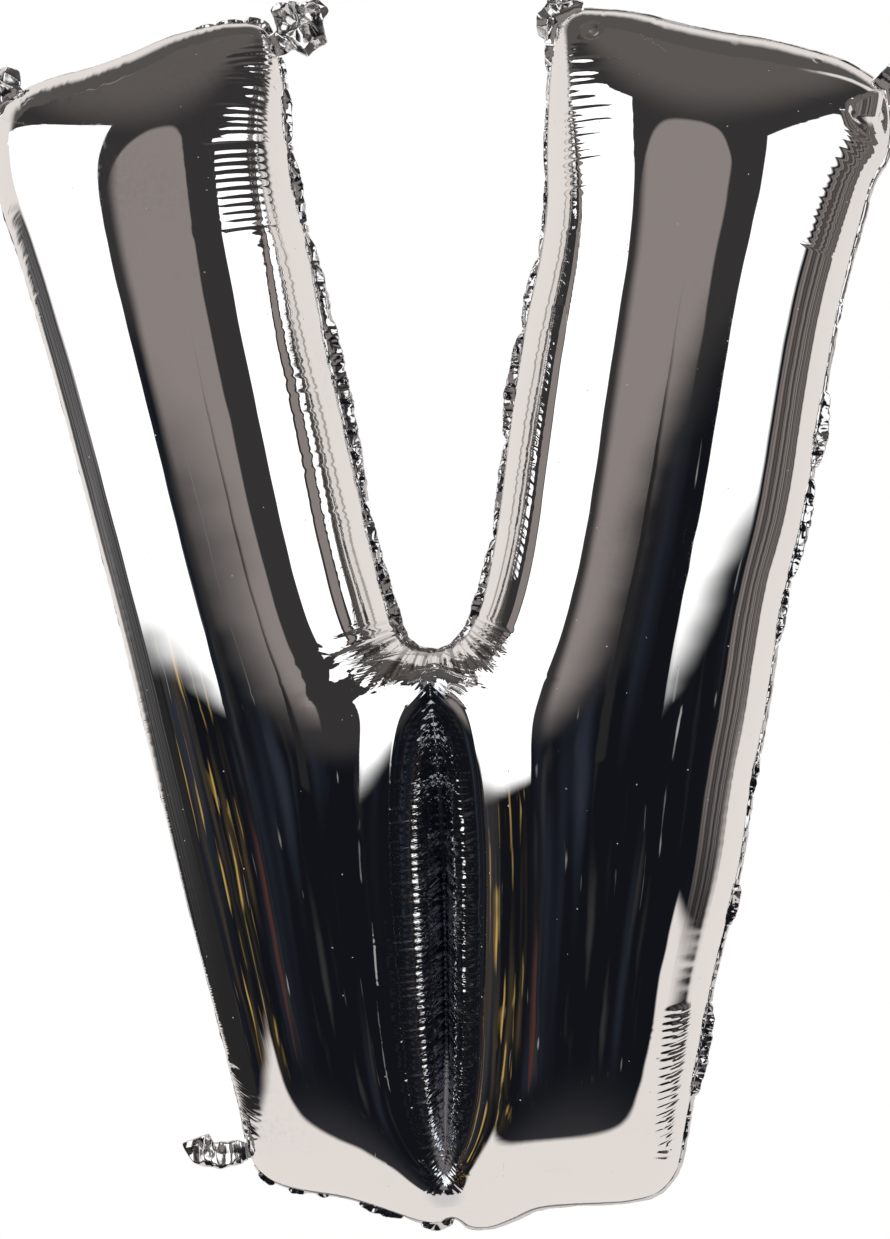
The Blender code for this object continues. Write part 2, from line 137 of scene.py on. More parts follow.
def flat_loops(name: str, depth: float, facing: int) -> list[np.ndarray]:
    """Outlines of a CAD node's flat faces: the edges that only one of their triangles uses, as loops.

    Args:
        name: name of the node.
        depth: distance of the flat faces from the flange's plane.
        facing: sign of the y direction that they face.

    Returns:
        Loops of points (x, z), each counter-clockwise seen from the front, the largest first.
    """
    points, triangles = node_vertices(name)
    a, b, c = (points[triangles[:, k]] for k in range(3))
    turned = np.cross(b - a, c - a)[:, 1] * facing > 0
    flat = np.all(np.abs(np.abs(points[triangles][:, :, 1]) - depth) < 2e-6, axis=1) & turned
    sides = np.vstack([triangles[flat][:, [0, 1]], triangles[flat][:, [1, 2]], triangles[flat][:, [2, 0]]])
    used, count = np.unique(np.sort(sides, axis=1), axis=0, return_counts=True)
    links: dict[int, list[int]] = {}
    for one, two in used[count == 1].tolist():
        links.setdefault(one, []).append(two)
        links.setdefault(two, []).append(one)
    loops = []
    while links:
        here = next(iter(links))
        loop = []
        while here in links:
            loop.append(here)
            here = next((k for k in links.pop(here) if k in links), -1)
        loops.append(points[loop][:, [0, 2]])
    loops = [loop if enclosed(loop) > 0 else loop[::-1] for loop in loops]
    return sorted(loops, key=enclosed, reverse=True)


def rim_outline() -> np.ndarray:
    """The line where the films leave the flange, read from the flat rim of the CAD front film.

    Returns:
        Points (x, z) in order round the letter, from the outer left corner down the left side.
    """
    points, _ = node_vertices("front_film")
    outline = flat_loops("front_film", np.abs(points[:, 1]).min(), 1)[0]
    first = np.argmin(np.linalg.norm(outline - CORNERS[Run.OUTER_LEFT], axis=1))
    return np.roll(outline, -first, axis=0)


def lengths(curve: np.ndarray) -> np.ndarray:
    """Distance along a curve at each of its samples."""
    return np.concatenate([[0.0], np.cumsum(np.linalg.norm(np.diff(curve, axis=0), axis=1))])


def spline(points: np.ndarray, spacing: float = 0.0005) -> np.ndarray:
    """A smooth curve through points: cubic spans whose end slopes are the chords' own gradient.

    Args:
        points: rows of (x, z).
        spacing: distance between the samples of the result.

    Returns:
        Samples of the curve, evenly spaced.
    """
    at = lengths(points)
    slope = np.gradient(points, at, axis=0, edge_order=2 if len(points) > 2 else 1)
    new = np.linspace(0.0, at[-1], max(2, round(at[-1] / spacing) + 1))
    k = np.clip(np.searchsorted(at, new, side="right") - 1, 0, len(at) - 2)
    span = (at[k + 1] - at[k])[:, None]
    t = (new - at[k])[:, None] / span
    return (
        (2 * t**3 - 3 * t**2 + 1) * points[k]
        + (t**3 - 2 * t**2 + t) * span * slope[k]
        + (3 * t**2 - 2 * t**3) * points[k + 1]
        + (t**3 - t**2) * span * slope[k + 1]
    )


def at_places(curve: np.ndarray, places: np.ndarray) -> np.ndarray:
    """Points of a curve at these distances along it."""
    length = lengths(curve)
    return np.stack([np.interp(places, length, curve[:, k]) for k in range(curve.shape[1])], axis=1)


def at_shares(curve: np.ndarray, shares: np.ndarray) -> np.ndarray:
    """Points of a curve at these shares of its length."""
    return at_places(curve, np.asarray(shares) * lengths(curve)[-1])


def averaged(rows: np.ndarray, count: int, ends: str) -> np.ndarray:
    """Moving average over neighbouring rows.

    Args:
        rows: points or directions in order.
        count: how many rows are averaged, an odd number.
        ends: how the rows go on past both ends, "edge" or "wrap".

    Returns:
        As many rows, smoothed.
    """
    soft = np.ones(count) / count
    padded = np.pad(rows, ((count // 2, count // 2), (0, 0)), ends)
    return np.stack([np.convolve(padded[:, k], soft, "valid") for k in range(rows.shape[1])], axis=1)


def triangle(turn: np.ndarray) -> np.ndarray:
    """Triangle wave of period 1, from -1 to 1."""
    return np.abs((turn % 1.0) - 0.5) * 4 - 1


def smoothstep(low: float, high: float, value: np.ndarray) -> np.ndarray:
    """The cubic 3t^2 - 2t^3 that rises from 0 at low to 1 at high."""
    t = np.clip((np.asarray(value, float) - low) / (high - low), 0.0, 1.0)
    return t * t * (3 - 2 * t)


def quadratic_start(count: int, ease: float) -> np.ndarray:
    """Shares from 0 to 1 whose steps grow evenly over the first ease of them and stay equal after it."""
    s = np.linspace(0.0, 1.0, count + 1)
    return np.where(s < ease, s * s / (2 * ease), s - ease / 2) / (1 - ease / 2)


@dataclass
class Letter:
    """The flat pattern of the letter as a fine lattice, and its shape once it is filled.

    The lattice has two halves, left and right, that share the centre line below the crotch. Lattice
    rows run from the outer edge to the inner one, and each coarse cell is `fine` steps wide.
    """

    fine: int = 4
    arm_rows: int = 128
    lobe_rows: int = 112
    columns: int = 40
    ease: float = 0.15  # share of the rows that are graded at the tops and at the foot
    arm_share: float = 0.59  # of the outer edges, which the rows above the crotch take
    weld_shares: Pair = (0.05, 0.943)  # of the centre line
    groove_ends: Pair = (0.052, 0.040)  # half thickness at the weld's top and foot
    groove_runs: Pair = (0.36, 0.26)  # shares of the centre line over which it deepens
    groove_power: float = 1.2  # of the share that is left of such a run

    def __post_init__(self) -> None:
        """Reads the outline from the frame, lays out the lattice and fills the letter."""
        outline = rim_outline()
        corner = [int(np.argmin(np.linalg.norm(outline - place, axis=1))) for place in CORNERS.values()]
        ends = corner[1:] + [len(outline)]
        closed = np.vstack([outline, outline[:1]])
        self.runs = {run: spline(closed[a : b + 1]) for run, a, b in zip(OUTLINE, corner, ends)}
        self.centre = spline(np.vstack([CORNERS[Run.INNER_LEFT], self.weld_line(), CORNERS[Run.FOOT_RIGHT]]))
        self.lay_out()
        self.height = np.sqrt(np.maximum(self.fill(), 0.0))
        log.info("lattice %s, half thickness %.4f m", self.plan.shape, self.height.max())

    @staticmethod
    def weld_line() -> np.ndarray:
        """Middle of the CAD centre weld: the mean of its left and right edges.

        Returns:
            Points (x, z) from the top down.
        """
        points, _ = node_vertices("centre_weld")
        front = points[points[:, 1] < 0][:, [0, 2]]
        front = front[np.argsort(-front[:, 1])]
        return (front[0::2] + front[1::2]) / 2

    def lay_out(self) -> None:
        """Fills each half with a Coons patch between its four edges.

        A point is the blend of the two side edges, plus that of the top and the foot, less that of the
        four corners, which both of them hold. All edges are turned to run downwards or inwards.
        """
        rows, cols = (self.arm_rows + self.lobe_rows) * self.fine, self.columns * self.fine
        self.crotch_row = self.arm_rows * self.fine
        arm = quadratic_start(self.crotch_row, self.ease)
        lobe = 1 - quadratic_start(rows - self.crotch_row, self.ease)[::-1]
        self.lobe_shares = lobe
        across = (1 - np.cos(math.pi * np.linspace(0.0, 1.0, cols + 1))) / 2
        share = np.concatenate([self.arm_share * arm, self.arm_share + (1 - self.arm_share) * lobe[1:]])
        halves = []
        for way, outer, inner, top, foot in (
            (1, Run.OUTER_LEFT, Run.INNER_LEFT, Run.TOP_LEFT, Run.FOOT_LEFT),
            (-1, Run.OUTER_RIGHT, Run.INNER_RIGHT, Run.TOP_RIGHT, Run.FOOT_RIGHT),
        ):
            outer, foot = self.runs[outer][::way], self.runs[foot][::way]
            inner, top = self.runs[inner][::-way], self.runs[top][::-way]
            left = at_shares(outer, share)
            right = np.vstack([at_shares(inner, arm), at_shares(self.centre, lobe)[1:]])
            upper, lower = at_shares(top, across), at_shares(foot, across)
            s, t = share[:, None, None], across[None, :, None]
            ruled = (1 - t) * left[:, None] + t * right[:, None] + (1 - s) * upper + s * lower
            upper_corners = (1 - t) * upper[0] + t * upper[-1]
            lower_corners = (1 - t) * lower[0] + t * lower[-1]
            halves.append(ruled - ((1 - s) * upper_corners + s * lower_corners))
        self.plan = np.stack(halves)
        centre_share = np.concatenate([np.full(self.crotch_row, -1.0), lobe])
        self.weld_rows = (centre_share >= self.weld_shares[0]) & (centre_share <= self.weld_shares[1])

    def fill(self) -> np.ndarray:
        """Solves for the pressure height u, with every row of the lattice and every `fine`-th column.

        u obeys -laplacian(u) = 2 with u = 0 on the seal and the square of the groove's floor on the
        weld, so that sqrt(u) makes a long straight arm a round tube.

        Returns:
            u at every point of both halves.
        """
        plan = self.plan[:, :, :: self.fine]
        rows, cols = plan.shape[1:3]
        number = np.arange(2 * cols).reshape(2, cols)
        own, down, load = self.assemble(plan, number)
        self.join_centre(own, down, load, number)
        value, fixed = self.held(rows, number)
        keep = ~fixed
        load -= np.einsum("rij,rj->ri", own, value)
        load[:-1] -= np.einsum("rij,rj->ri", down[:-1], value[1:])
        load[1:] -= np.einsum("rij,ri->rj", down[:-1], value[:-1])
        own *= keep[:, :, None] & keep[:, None, :]
        own[:, np.arange(2 * cols), np.arange(2 * cols)] += fixed
        load = load * keep + value * fixed
        down[:-1] *= keep[:-1, :, None] & keep[1:, None, :]
        value = self.eliminate(own, down, load)
        value[self.crotch_row :, number[1, -1]] = value[self.crotch_row :, number[0, -1]]
        return self.refine(value.reshape(rows, 2, cols).transpose(1, 0, 2), self.fine)

    @staticmethod
    def assemble(plan: np.ndarray, number: np.ndarray) -> tuple[np.ndarray, np.ndarray, np.ndarray]:
        """Sets up the equations from four-sided elements, each the mean of its two splits in triangles.

        An element joins a row to the next one only, so the equations are block tridiagonal.

        Args:
            plan: the lattice as halves x rows x columns x 2.
            number: place in a row's block of each half's columns.

        Returns:
            Each row's own block, its block with the row below, and its load.
        """
        rows, n = plan.shape[1], number.size
        own = np.zeros((rows, n, n))
        down = np.zeros((rows, n, n))
        load = np.zeros((rows, n))
        for half in range(2):
            p = plan[half]
            quad = np.stack([p[:-1, :-1], p[:-1, 1:], p[1:, 1:], p[1:, :-1]], axis=2)
            stiff = np.zeros((*quad.shape[:2], 4, 4))
            area = np.zeros(quad.shape[:2])
            for corner in ((0, 1, 2), (0, 2, 3), (0, 1, 3), (1, 2, 3)):
                tri = quad[:, :, corner]
                edge = np.roll(tri, -2, axis=2) - np.roll(tri, -1, axis=2)
                size = np.abs(edge[..., 0, 0] * edge[..., 1, 1] - edge[..., 0, 1] * edge[..., 1, 0]) / 2
                grad = np.einsum("rcid,rcjd->rcij", edge, edge) / (8 * size)[..., None, None]
                for i, ci in enumerate(corner):
                    for j, cj in enumerate(corner):
                        stiff[:, :, ci, cj] += grad[:, :, i, j]
                area += size / 2
            left, right = number[half, :-1], number[half, 1:]
            ids = (left, right, right, left)
            for ci in range(4):
                np.add.at(load, (np.arange(rows - 1)[:, None] + (ci > 1), ids[ci][None]), area / 2)
                for cj in range(4):
                    r = np.arange(rows - 1)[:, None]
                    if (ci > 1) == (cj > 1):
                        np.add.at(own, (r + (ci > 1), ids[ci][None], ids[cj][None]), stiff[:, :, ci, cj])
                    elif ci < 2:
                        np.add.at(down, (r, ids[ci][None], ids[cj][None]), stiff[:, :, ci, cj])
        return own, down, load

    def held(self, rows: int, number: np.ndarray) -> tuple[np.ndarray, np.ndarray]:
        """Where u is held: on the seal, on the weld, and on the right half's share of the centre line.

        Args:
            rows: of the lattice.
            number: place in a row's block of each half's columns.

        Returns:
            The held values, and whether each point is held.
        """
        value = np.zeros((rows, number.size))
        fixed = np.zeros((rows, number.size), bool)
        fixed[[0, -1]] = True
        fixed[:, number[:, 0]] = True
        fixed[: self.crotch_row + 1, number[:, -1]] = True
        fixed[self.weld_rows, number[0, -1]] = True
        fixed[self.crotch_row :, number[1, -1]] = True
        value[self.crotch_row :, number[0, -1]] = self.groove_floor() ** 2 * self.weld_rows[self.crotch_row :]
        return value, fixed

    @staticmethod
    def eliminate(own: np.ndarray, down: np.ndarray, load: np.ndarray) -> np.ndarray:
        """Solves the block tridiagonal equations by elimination from the top row down.

        Args:
            own: each row's own block.
            down: its block with the row below.
            load: its load.

        Returns:
            The solution, one row a block.
        """
        rows = len(own)
        value = np.zeros_like(load)
        for row in range(1, rows):
            carry = np.linalg.solve(own[row - 1], np.column_stack([down[row - 1], load[row - 1]]))
            own[row] -= down[row - 1].T @ carry[:, :-1]
            load[row] -= down[row - 1].T @ carry[:, -1]
        value[-1] = np.linalg.solve(own[-1], load[-1])
        for row in range(rows - 2, -1, -1):
            value[row] = np.linalg.solve(own[row], load[row] - down[row] @ value[row + 1])
        return value

    def groove_floor(self) -> np.ndarray:
        """Half thickness at the bottom of the weld's groove, which deepens gradually from both its ends.

        Returns:
            One value for each row from the crotch down.
        """
        from_top = (self.lobe_shares - self.weld_shares[0]) / self.groove_runs[0]
        from_foot = (self.weld_shares[1] - self.lobe_shares) / self.groove_runs[1]
        top, foot = (np.clip(1 - share, 0.0, 1.0) ** self.groove_power for share in (from_top, from_foot))
        return self.groove_ends[0] * top + self.groove_ends[1] * foot

    def join_centre(self, own: np.ndarray, down: np.ndarray, load: np.ndarray, number: np.ndarray) -> None:
        """Below the crotch, adds the right half's last column to the left half's, which it shares.

        Args:
            own: each row's own block.
            down: its block with the row below.
            load: its load.
            number: place in a row's block of each half's columns.
        """
        here = slice(self.crotch_row, None)
        a, b = number[0, -1], number[1, -1]
        for block in (own, down):
            block[here, a, :] += block[here, b, :]
            block[here, :, a] += block[here, :, b]
            block[here, b, :] = 0.0
            block[here, :, b] = 0.0
        above = self.crotch_row - 1
        down[above, :, a] += down[above, :, b]
        down[above, :, b] = 0.0
        load[here, a] += load[here, b]

    def seam_places(self) -> "SeamPlaces":
        """Where every lattice point lies against the seal, worked out once.

        Returns:
            The places.
        """
        if not hasattr(self, "places"):
            self.places = SeamPlaces.of(self, self.plan.reshape(-1, 2))
        return self.places

    def crotch_place(self) -> float:
        """Place of the crotch along the seam, in metres."""
        away = np.linalg.norm(self.plan.reshape(-1, 2) - CORNERS[Run.INNER_LEFT], axis=1)
        return float(self.seam_places().along[np.argmin(away)])

    def seam_length(self) -> float:
        """Length of the whole outline, in metres."""
        return float(sum(lengths(curve)[-1] for curve in self.runs.values()))

    @staticmethod
    def refine(u: np.ndarray, step: int) -> np.ndarray:
        """Cubic interpolation along the columns, u being even about both edges.

        Args:
            u: halves x rows x columns.
            step: how many new columns each old one makes.

        Returns:
            u with the new columns.
        """
        padded = np.concatenate([u[:, :, 1:2], u, u[:, :, -2:-1]], axis=2)
        fine = np.empty((*u.shape[:2], (u.shape[2] - 1) * step + 1))
        a, b, c, d = (padded[:, :, k : k + u.shape[2] - 1] for k in range(4))
        for k in range(step):
            t = k / step
            fine[:, :, k:-1:step] = 0.5 * (
                2 * b + (c - a) * t + (2 * a - 5 * b + 4 * c - d) * t**2 + (3 * b - a - 3 * c + d) * t**3
            )
        fine[:, :, -1] = u[:, :, -1]
        return fine


def nearest_on(curve: np.ndarray, points: np.ndarray, stride: int = 24) -> tuple[np.ndarray, np.ndarray]:
    """The nearest place of a finely sampled curve to each point.

    A coarse search over every stride-th sample finds the stretch, a fine one inside it finds the
    sample, and the tangent there gives the remaining distance along the curve.

    Args:
        curve: evenly spaced samples.
        points: rows of (x, z).
        stride: samples between those of the coarse search.

    Returns:
        The place along the curve as a fractional sample number, and the distance from the curve.
    """
    coarse = curve[::stride]
    block = 4096
    rough = np.concatenate([
        np.argmin(((points[k : k + block, None] - coarse[None]) ** 2).sum(-1), axis=1)
        for k in range(0, len(points), block)
    ])
    around = np.clip(rough[:, None] * stride + np.arange(-stride, stride + 1), 0, len(curve) - 1)
    near = np.argmin(((points[:, None] - curve[around]) ** 2).sum(-1), axis=1)
    index = around[np.arange(len(points)), near]
    tangent = np.gradient(curve, axis=0)
    offset = points - curve[index]
    along = (offset * tangent[index]).sum(-1) / (tangent[index] ** 2).sum(-1)
    return index + np.clip(along, -1.0, 1.0), np.linalg.norm(offset, axis=1)


def random_at(seed: int, number: np.ndarray, count: int = 512) -> np.ndarray:
    """A fixed random value from -1 to 1 for each whole number, repeating after `count` of them."""
    return (np.random.default_rng(seed).random(count) * 2 - 1)[number % count]


def drift(seed: int, place: np.ndarray, length: float) -> np.ndarray:
    """Smooth random wander from -1 to 1: a cosine blend between random values a length apart.

    Args:
        seed: of the random values.
        place: where it is wanted.
        length: distance between the random values.

    Returns:
        The wander at each place.
    """
    k = np.floor(place / length).astype(int)
    t = (1 - np.cos(math.pi * (place / length - k))) / 2
    return random_at(seed, k) * (1 - t) + random_at(seed, k + 1) * t


def faded(away: np.ndarray, rise: float, full: object, reach: object) -> np.ndarray:
    """Share that rises from 0 at the seal over `rise`, stays, and falls from `full` to 0 at `reach`."""
    return smoothstep(0.0, rise, away) * (1 - smoothstep(full, reach, away))


@dataclass(frozen=True)
class Puckers:
    """A stretch of seam where the film bulges between short creases that run square to the seam.

    Across each bulge the height is the parabola 4f(1 - f) of its share f, so it is zero and sharp at
    the creases. Away from the seam it rises over `rise` and fades out at its own reach.
    """

    runs: tuple[Run, ...]
    low: float  # lowest and highest place on the seam, as z on the sides and as x on tops and feet
    high: float
    pitch: float
    height: float
    reach: float
    rise: float = 0.004
    uneven: float = 0.35  # how much the pitch wanders and the bulges differ
    leaf: bool = False  # whether the reach narrows to nothing at both ends
    seed: int = 1
    margin: float = 0.003  # on either side of low and high, over which they start and end
    full: float = 0.55  # share of the reach at which they start to fade

    def lift(self, seam: "SeamPlaces") -> np.ndarray:
        """Works out how far these puckers push the film outwards.

        Args:
            seam: places of the film's points.

        Returns:
            The lift at each point.
        """
        place = seam.axis_place
        inside = np.isin(seam.run, [run.value for run in self.runs])
        window = smoothstep(self.low - self.margin, self.low + self.margin, place)
        window = window * (1 - smoothstep(self.high - self.margin, self.high + self.margin, place)) * inside
        turn = seam.along / self.pitch + self.uneven * drift(self.seed, seam.along, 2.3 * self.pitch)
        ridge = np.floor(turn).astype(int)
        f = turn - ridge
        size = 1 + self.uneven * random_at(self.seed + 1, ridge)
        reach = self.reach * (1 + self.uneven * random_at(self.seed + 2, ridge))
        if self.leaf:
            share = np.clip((place - self.low) / (self.high - self.low), 0.0, 1.0)
            reach = np.maximum(reach * np.sin(math.pi * share) ** 0.6, 1e-4)
        fade = faded(seam.away, self.rise, self.full * reach, reach)
        return window * fade * size * self.height * 4 * f * (1 - f)


@dataclass(frozen=True)
class Pinch:
    """One long sharp crease across the film: a V of this depth whose flanks are `half` wide."""

    run: Run
    place: float  # as Puckers.low
    depth: float
    half: float
    reach: float
    rise: float = 0.003
    full: float = 0.7  # as Puckers.full

    def lift(self, seam: "SeamPlaces") -> np.ndarray:
        """Works out how far the crease pulls the film inwards.

        Args:
            seam: places of the film's points.

        Returns:
            The lift at each point, which is negative.
        """
        valley = np.clip(1 - np.abs(seam.axis_place - self.place) / self.half, 0.0, 1.0)
        fade = faded(seam.away, self.rise, self.full * self.reach, self.reach)
        return -self.depth * valley * fade * (seam.run == self.run.value)


@dataclass(frozen=True)
class Dimple:
    """A small round dent in the film."""

    centre: Pair
    depth: float
    radius: float

    def lift(self, seam: "SeamPlaces") -> np.ndarray:
        """How far the dent pulls the film inwards at each point of the film, as a negative lift."""
        distance = np.linalg.norm(seam.points - self.centre, axis=1)
        return -self.depth * (1 - smoothstep(0.0, self.radius, distance))


@dataclass
class SeamPlaces:
    """Where points of the letter lie against its seal: nearest run, place along it and distance."""

    points: np.ndarray
    run: np.ndarray
    along: np.ndarray
    axis_place: np.ndarray
    away: np.ndarray

    @classmethod
    def of(cls, letter: Letter, points: np.ndarray) -> "SeamPlaces":
        """Looks up the outline for each point of the plan.

        Args:
            letter: gives the outline and the weld.
            points: rows of (x, z), those of the left half first.

        Returns:
            The places.
        """
        first, last = (int(share * len(letter.centre)) for share in letter.weld_shares)
        curves = {**letter.runs, Run.WELD_LEFT: letter.centre[first:last]}
        whole = np.vstack(list(curves.values()))
        run = np.concatenate([np.full(len(curve), which.value) for which, curve in curves.items()])
        index, away = nearest_on(whole, points)
        nearest = np.clip(np.round(index).astype(int), 0, len(whole) - 1)
        level = np.isin(run, [which.value for which in LEVEL])
        axis = np.where(level, whole[:, 0], whole[:, 1])
        steps = np.arange(len(whole))
        right_half = np.arange(len(points)) >= len(points) // 2
        on_right_weld = (run[nearest] == Run.WELD_LEFT.value) & right_half
        return cls(
            points=points,
            run=np.where(on_right_weld, Run.WELD_RIGHT.value, run[nearest]),
            along=np.interp(index, steps, lengths(whole)),
            axis_place=np.interp(index, steps, axis),
            away=away,
        )


def put_mesh(
    name: str, points: np.ndarray, faces: list[np.ndarray], material: bpy.types.Material
) -> tuple[bpy.types.Object, np.ndarray]:
    """Adds a smooth-shaded mesh to the scene as one named object at the origin.

    Args:
        name: name of the object and its mesh.
        points: rows of (x, y, z).
        faces: arrays of corner indices, one row a face; -1 pads the rows of faces with fewer corners.
        material: its only material.

    Returns:
        The object, and the row of `points` that each of its face corners came from.
    """
    corners = np.concatenate([f[f >= 0] for f in faces])
    totals = np.concatenate([(f >= 0).sum(axis=1) for f in faces])
    used, slots = np.unique(corners, return_inverse=True)
    mesh = bpy.data.meshes.new(name)
    mesh.vertices.add(len(used))
    mesh.vertices.foreach_set("co", points[used].astype(np.float32).ravel())
    mesh.loops.add(len(corners))
    mesh.loops.foreach_set("vertex_index", slots.ravel().astype(np.int32))
    mesh.polygons.add(len(totals))
    mesh.polygons.foreach_set("loop_start", np.concatenate([[0], np.cumsum(totals)[:-1]]).astype(np.int32))
    mesh.update(calc_edges=True)
    mesh.polygons.foreach_set("use_smooth", np.ones(len(totals), bool))
    mesh.materials.append(material)
    obj = bpy.data.objects.new(name, mesh)
    bpy.context.scene.collection.objects.link(obj)
    return obj, corners


def join_model(obj: bpy.types.Object, node: str) -> bpy.types.Object:
    """Makes a piece part of the balloon.

    Args:
        obj: the piece.
        node: CAD node that it replaces.

    Returns:
        The piece.
    """
    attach(obj, "root")
    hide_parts(node)
    log.info("%s: %d faces", obj.name, len(obj.data.polygons))
    return obj


@dataclass
class Film:
    """One mirror film: a fine outer skin with its puckers, a plainer inner skin, and the rim between."""

    letter: Letter
    side: Side
    puckers: tuple[Puckers, ...]
    pinches: tuple[Pinch | Dimple, ...]
    rim: float = 0.0004  # distance of the rim from the plane of the flange
    skin: float = 0.0008  # distance between the outer and the inner skin
    side_columns: int = 13  # coarse columns next to each edge that are split along the edge
    end_rows: int = 20  # coarse rows next to the tops and the foot that are split across
    inner_step: int = 8  # lattice steps of a cell of the inner skin

    def base(self) -> np.ndarray:
        """The smooth filled film: the plan, pushed out of the flange's plane by the height."""
        plan, height = self.letter.plan, self.letter.height
        return np.stack([plan[..., 0], self.side.value * (height + self.rim), plan[..., 1]], axis=-1)

    def normals(self, points: np.ndarray) -> np.ndarray:
        """Works out outward unit normals: the cross product of the steps along both lattice directions.

        On the centre line, where the film runs through, both halves take their sum.

        Args:
            points: the film as halves x rows x columns x 3.

        Returns:
            The normals.
        """
        down, across = np.gradient(points, axis=1), np.gradient(points, axis=2)
        normal = np.cross(across, down)
        normal[0] *= -1
        normal *= -self.side.value
        normal /= np.linalg.norm(normal, axis=-1, keepdims=True) + 1e-20
        free = np.arange(points.shape[1]) > self.letter.crotch_row
        free &= ~self.letter.weld_rows
        shared = normal[0, free, -1] + normal[1, free, -1]
        normal[:, free, -1] = shared / np.linalg.norm(shared, axis=-1, keepdims=True)
        return normal

    def surface(self) -> tuple[np.ndarray, np.ndarray]:
        """Works out the outer skin: the base, lifted along its normals by the puckers and pinches.

        Returns:
            Its points and its normals.
        """
        base = self.base()
        normal = self.normals(base)
        seam = self.letter.seam_places()
        lift = sum(piece.lift(seam) for piece in (*self.puckers, *self.pinches)).reshape(base.shape[:3])
        points = base + normal * lift[..., None]
        return points, self.normals(points)

    def ids(self) -> np.ndarray:
        """Numbers the lattice points, the halves sharing those of the centre line.

        Returns:
            The numbers.
        """
        shape = self.letter.plan.shape[:3]
        number = np.arange(np.prod(shape)).reshape(shape)
        number[1, self.letter.crotch_row :, -1] = number[0, self.letter.crotch_row :, -1]
        return number

    def cells(self, number: np.ndarray, step: int, split: bool) -> list[np.ndarray]:
        """Faces of one skin, cell by cell of the lattice.

        A cell is `step` lattice steps wide, or is split into single steps along an edge that lies near
        it. Each face goes round its cell and takes in every lattice point there that a neighbour uses.

        Args:
            number: the lattice points' numbers.
            step: width of a cell.
            split: whether cells near the edges are split.

        Returns:
            Arrays of faces padded with -1, facing outwards for the outer skin.
        """
        rows, cols = number.shape[1] - 1, number.shape[2] - 1
        top, left = np.meshgrid(np.arange(0, rows, step), np.arange(0, cols, step), indexing="ij")
        near_side = (left < self.side_columns * step) | (left >= cols - self.side_columns * step)
        near_end = (top < self.end_rows * step) | (top >= rows - self.end_rows * step)
        near_side, near_end = near_side & split, near_end & split
        parts = []
        active = np.zeros(number.shape[1:], bool)
        for along in (False, True):
            for across in (False, True):
                pick = (near_side == along) & (near_end == across)
                high, wide = (1 if along else step), (1 if across else step)
                di, dj = np.meshgrid(np.arange(0, step, high), np.arange(0, step, wide), indexing="ij")
                i = (top[pick][:, None] + di.ravel()).ravel()
                j = (left[pick][:, None] + dj.ravel()).ravel()
                parts.append((i, j, high, wide))
                for a in (0, high):
                    for b in (0, wide):
                        active[i + a, j + b] = True
        active[0] = active[-1] = active[:, 0] = active[:, -1] = True
        faces = []
        for half in range(2):
            for i, j, high, wide in parts:
                ring = [(0, b) for b in range(wide)] + [(a, wide) for a in range(high)]
                ring += [(high, b) for b in range(wide, 0, -1)] + [(a, 0) for a in range(high, 0, -1)]
                di, dj = np.array(ring).T
                di, dj = i[:, None] + di, j[:, None] + dj
                face = np.where(active[di, dj], number[half, di, dj], -1)
                faces.append(face[:, ::-1] if (half == 0) == (self.side is Side.FRONT) else face)
        return faces

    def boundary(self, number: np.ndarray) -> np.ndarray:
        """Goes once round the letter.

        Args:
            number: the lattice points' numbers.

        Returns:
            Those of the outline's points, in order.
        """
        left, right = number
        crotch = self.letter.crotch_row
        return np.concatenate([
            left[:-1, 0], left[-1, :-1], right[-1, :0:-1], right[:0:-1, 0],
            right[0, :-1], right[:crotch, -1], left[crotch:0:-1, -1], left[0, :0:-1],
        ])

    def build(self, material: bpy.types.Material) -> bpy.types.Object:
        """Makes the film as one closed mesh, with its map of the seam.

        Args:
            material: its finish.

        Returns:
            The film.
        """
        points, normal = self.surface()
        number = self.ids()
        inner = points - normal * self.skin
        inner[..., 1] = self.side.value * np.maximum(inner[..., 1] * self.side.value, self.rim / 2)
        count = number.size
        faces = self.cells(number, self.letter.fine, split=True)
        for face in self.cells(number, self.inner_step, split=False):
            faces.append(np.where(face >= 0, face + count, -1)[:, ::-1])
        ring = self.boundary(number)
        after = np.roll(ring, -1)
        strip = np.stack([ring, ring + count, after + count, after], axis=1)
        faces.append(strip if self.side is Side.FRONT else strip[:, ::-1])
        side = self.side.name.lower()
        both = np.vstack([points.reshape(-1, 3), inner.reshape(-1, 3)])
        obj, corner = put_mesh(f"{side}_mirror_film", both, faces, material)
        seam = self.letter.seam_places()
        row = corner % count
        places = np.stack([seam.along[row], seam.away[row]], axis=1)
        obj.data.uv_layers.new(name="seam").data.foreach_set("uv", places.astype(np.float32).ravel())
        return join_model(obj, f"{side}_film")


LEFT_IN, RIGHT_IN, LEFT_OUT, RIGHT_OUT = Run.INNER_LEFT, Run.INNER_RIGHT, Run.OUTER_LEFT, Run.OUTER_RIGHT
WELD = (Run.WELD_LEFT, Run.WELD_RIGHT)

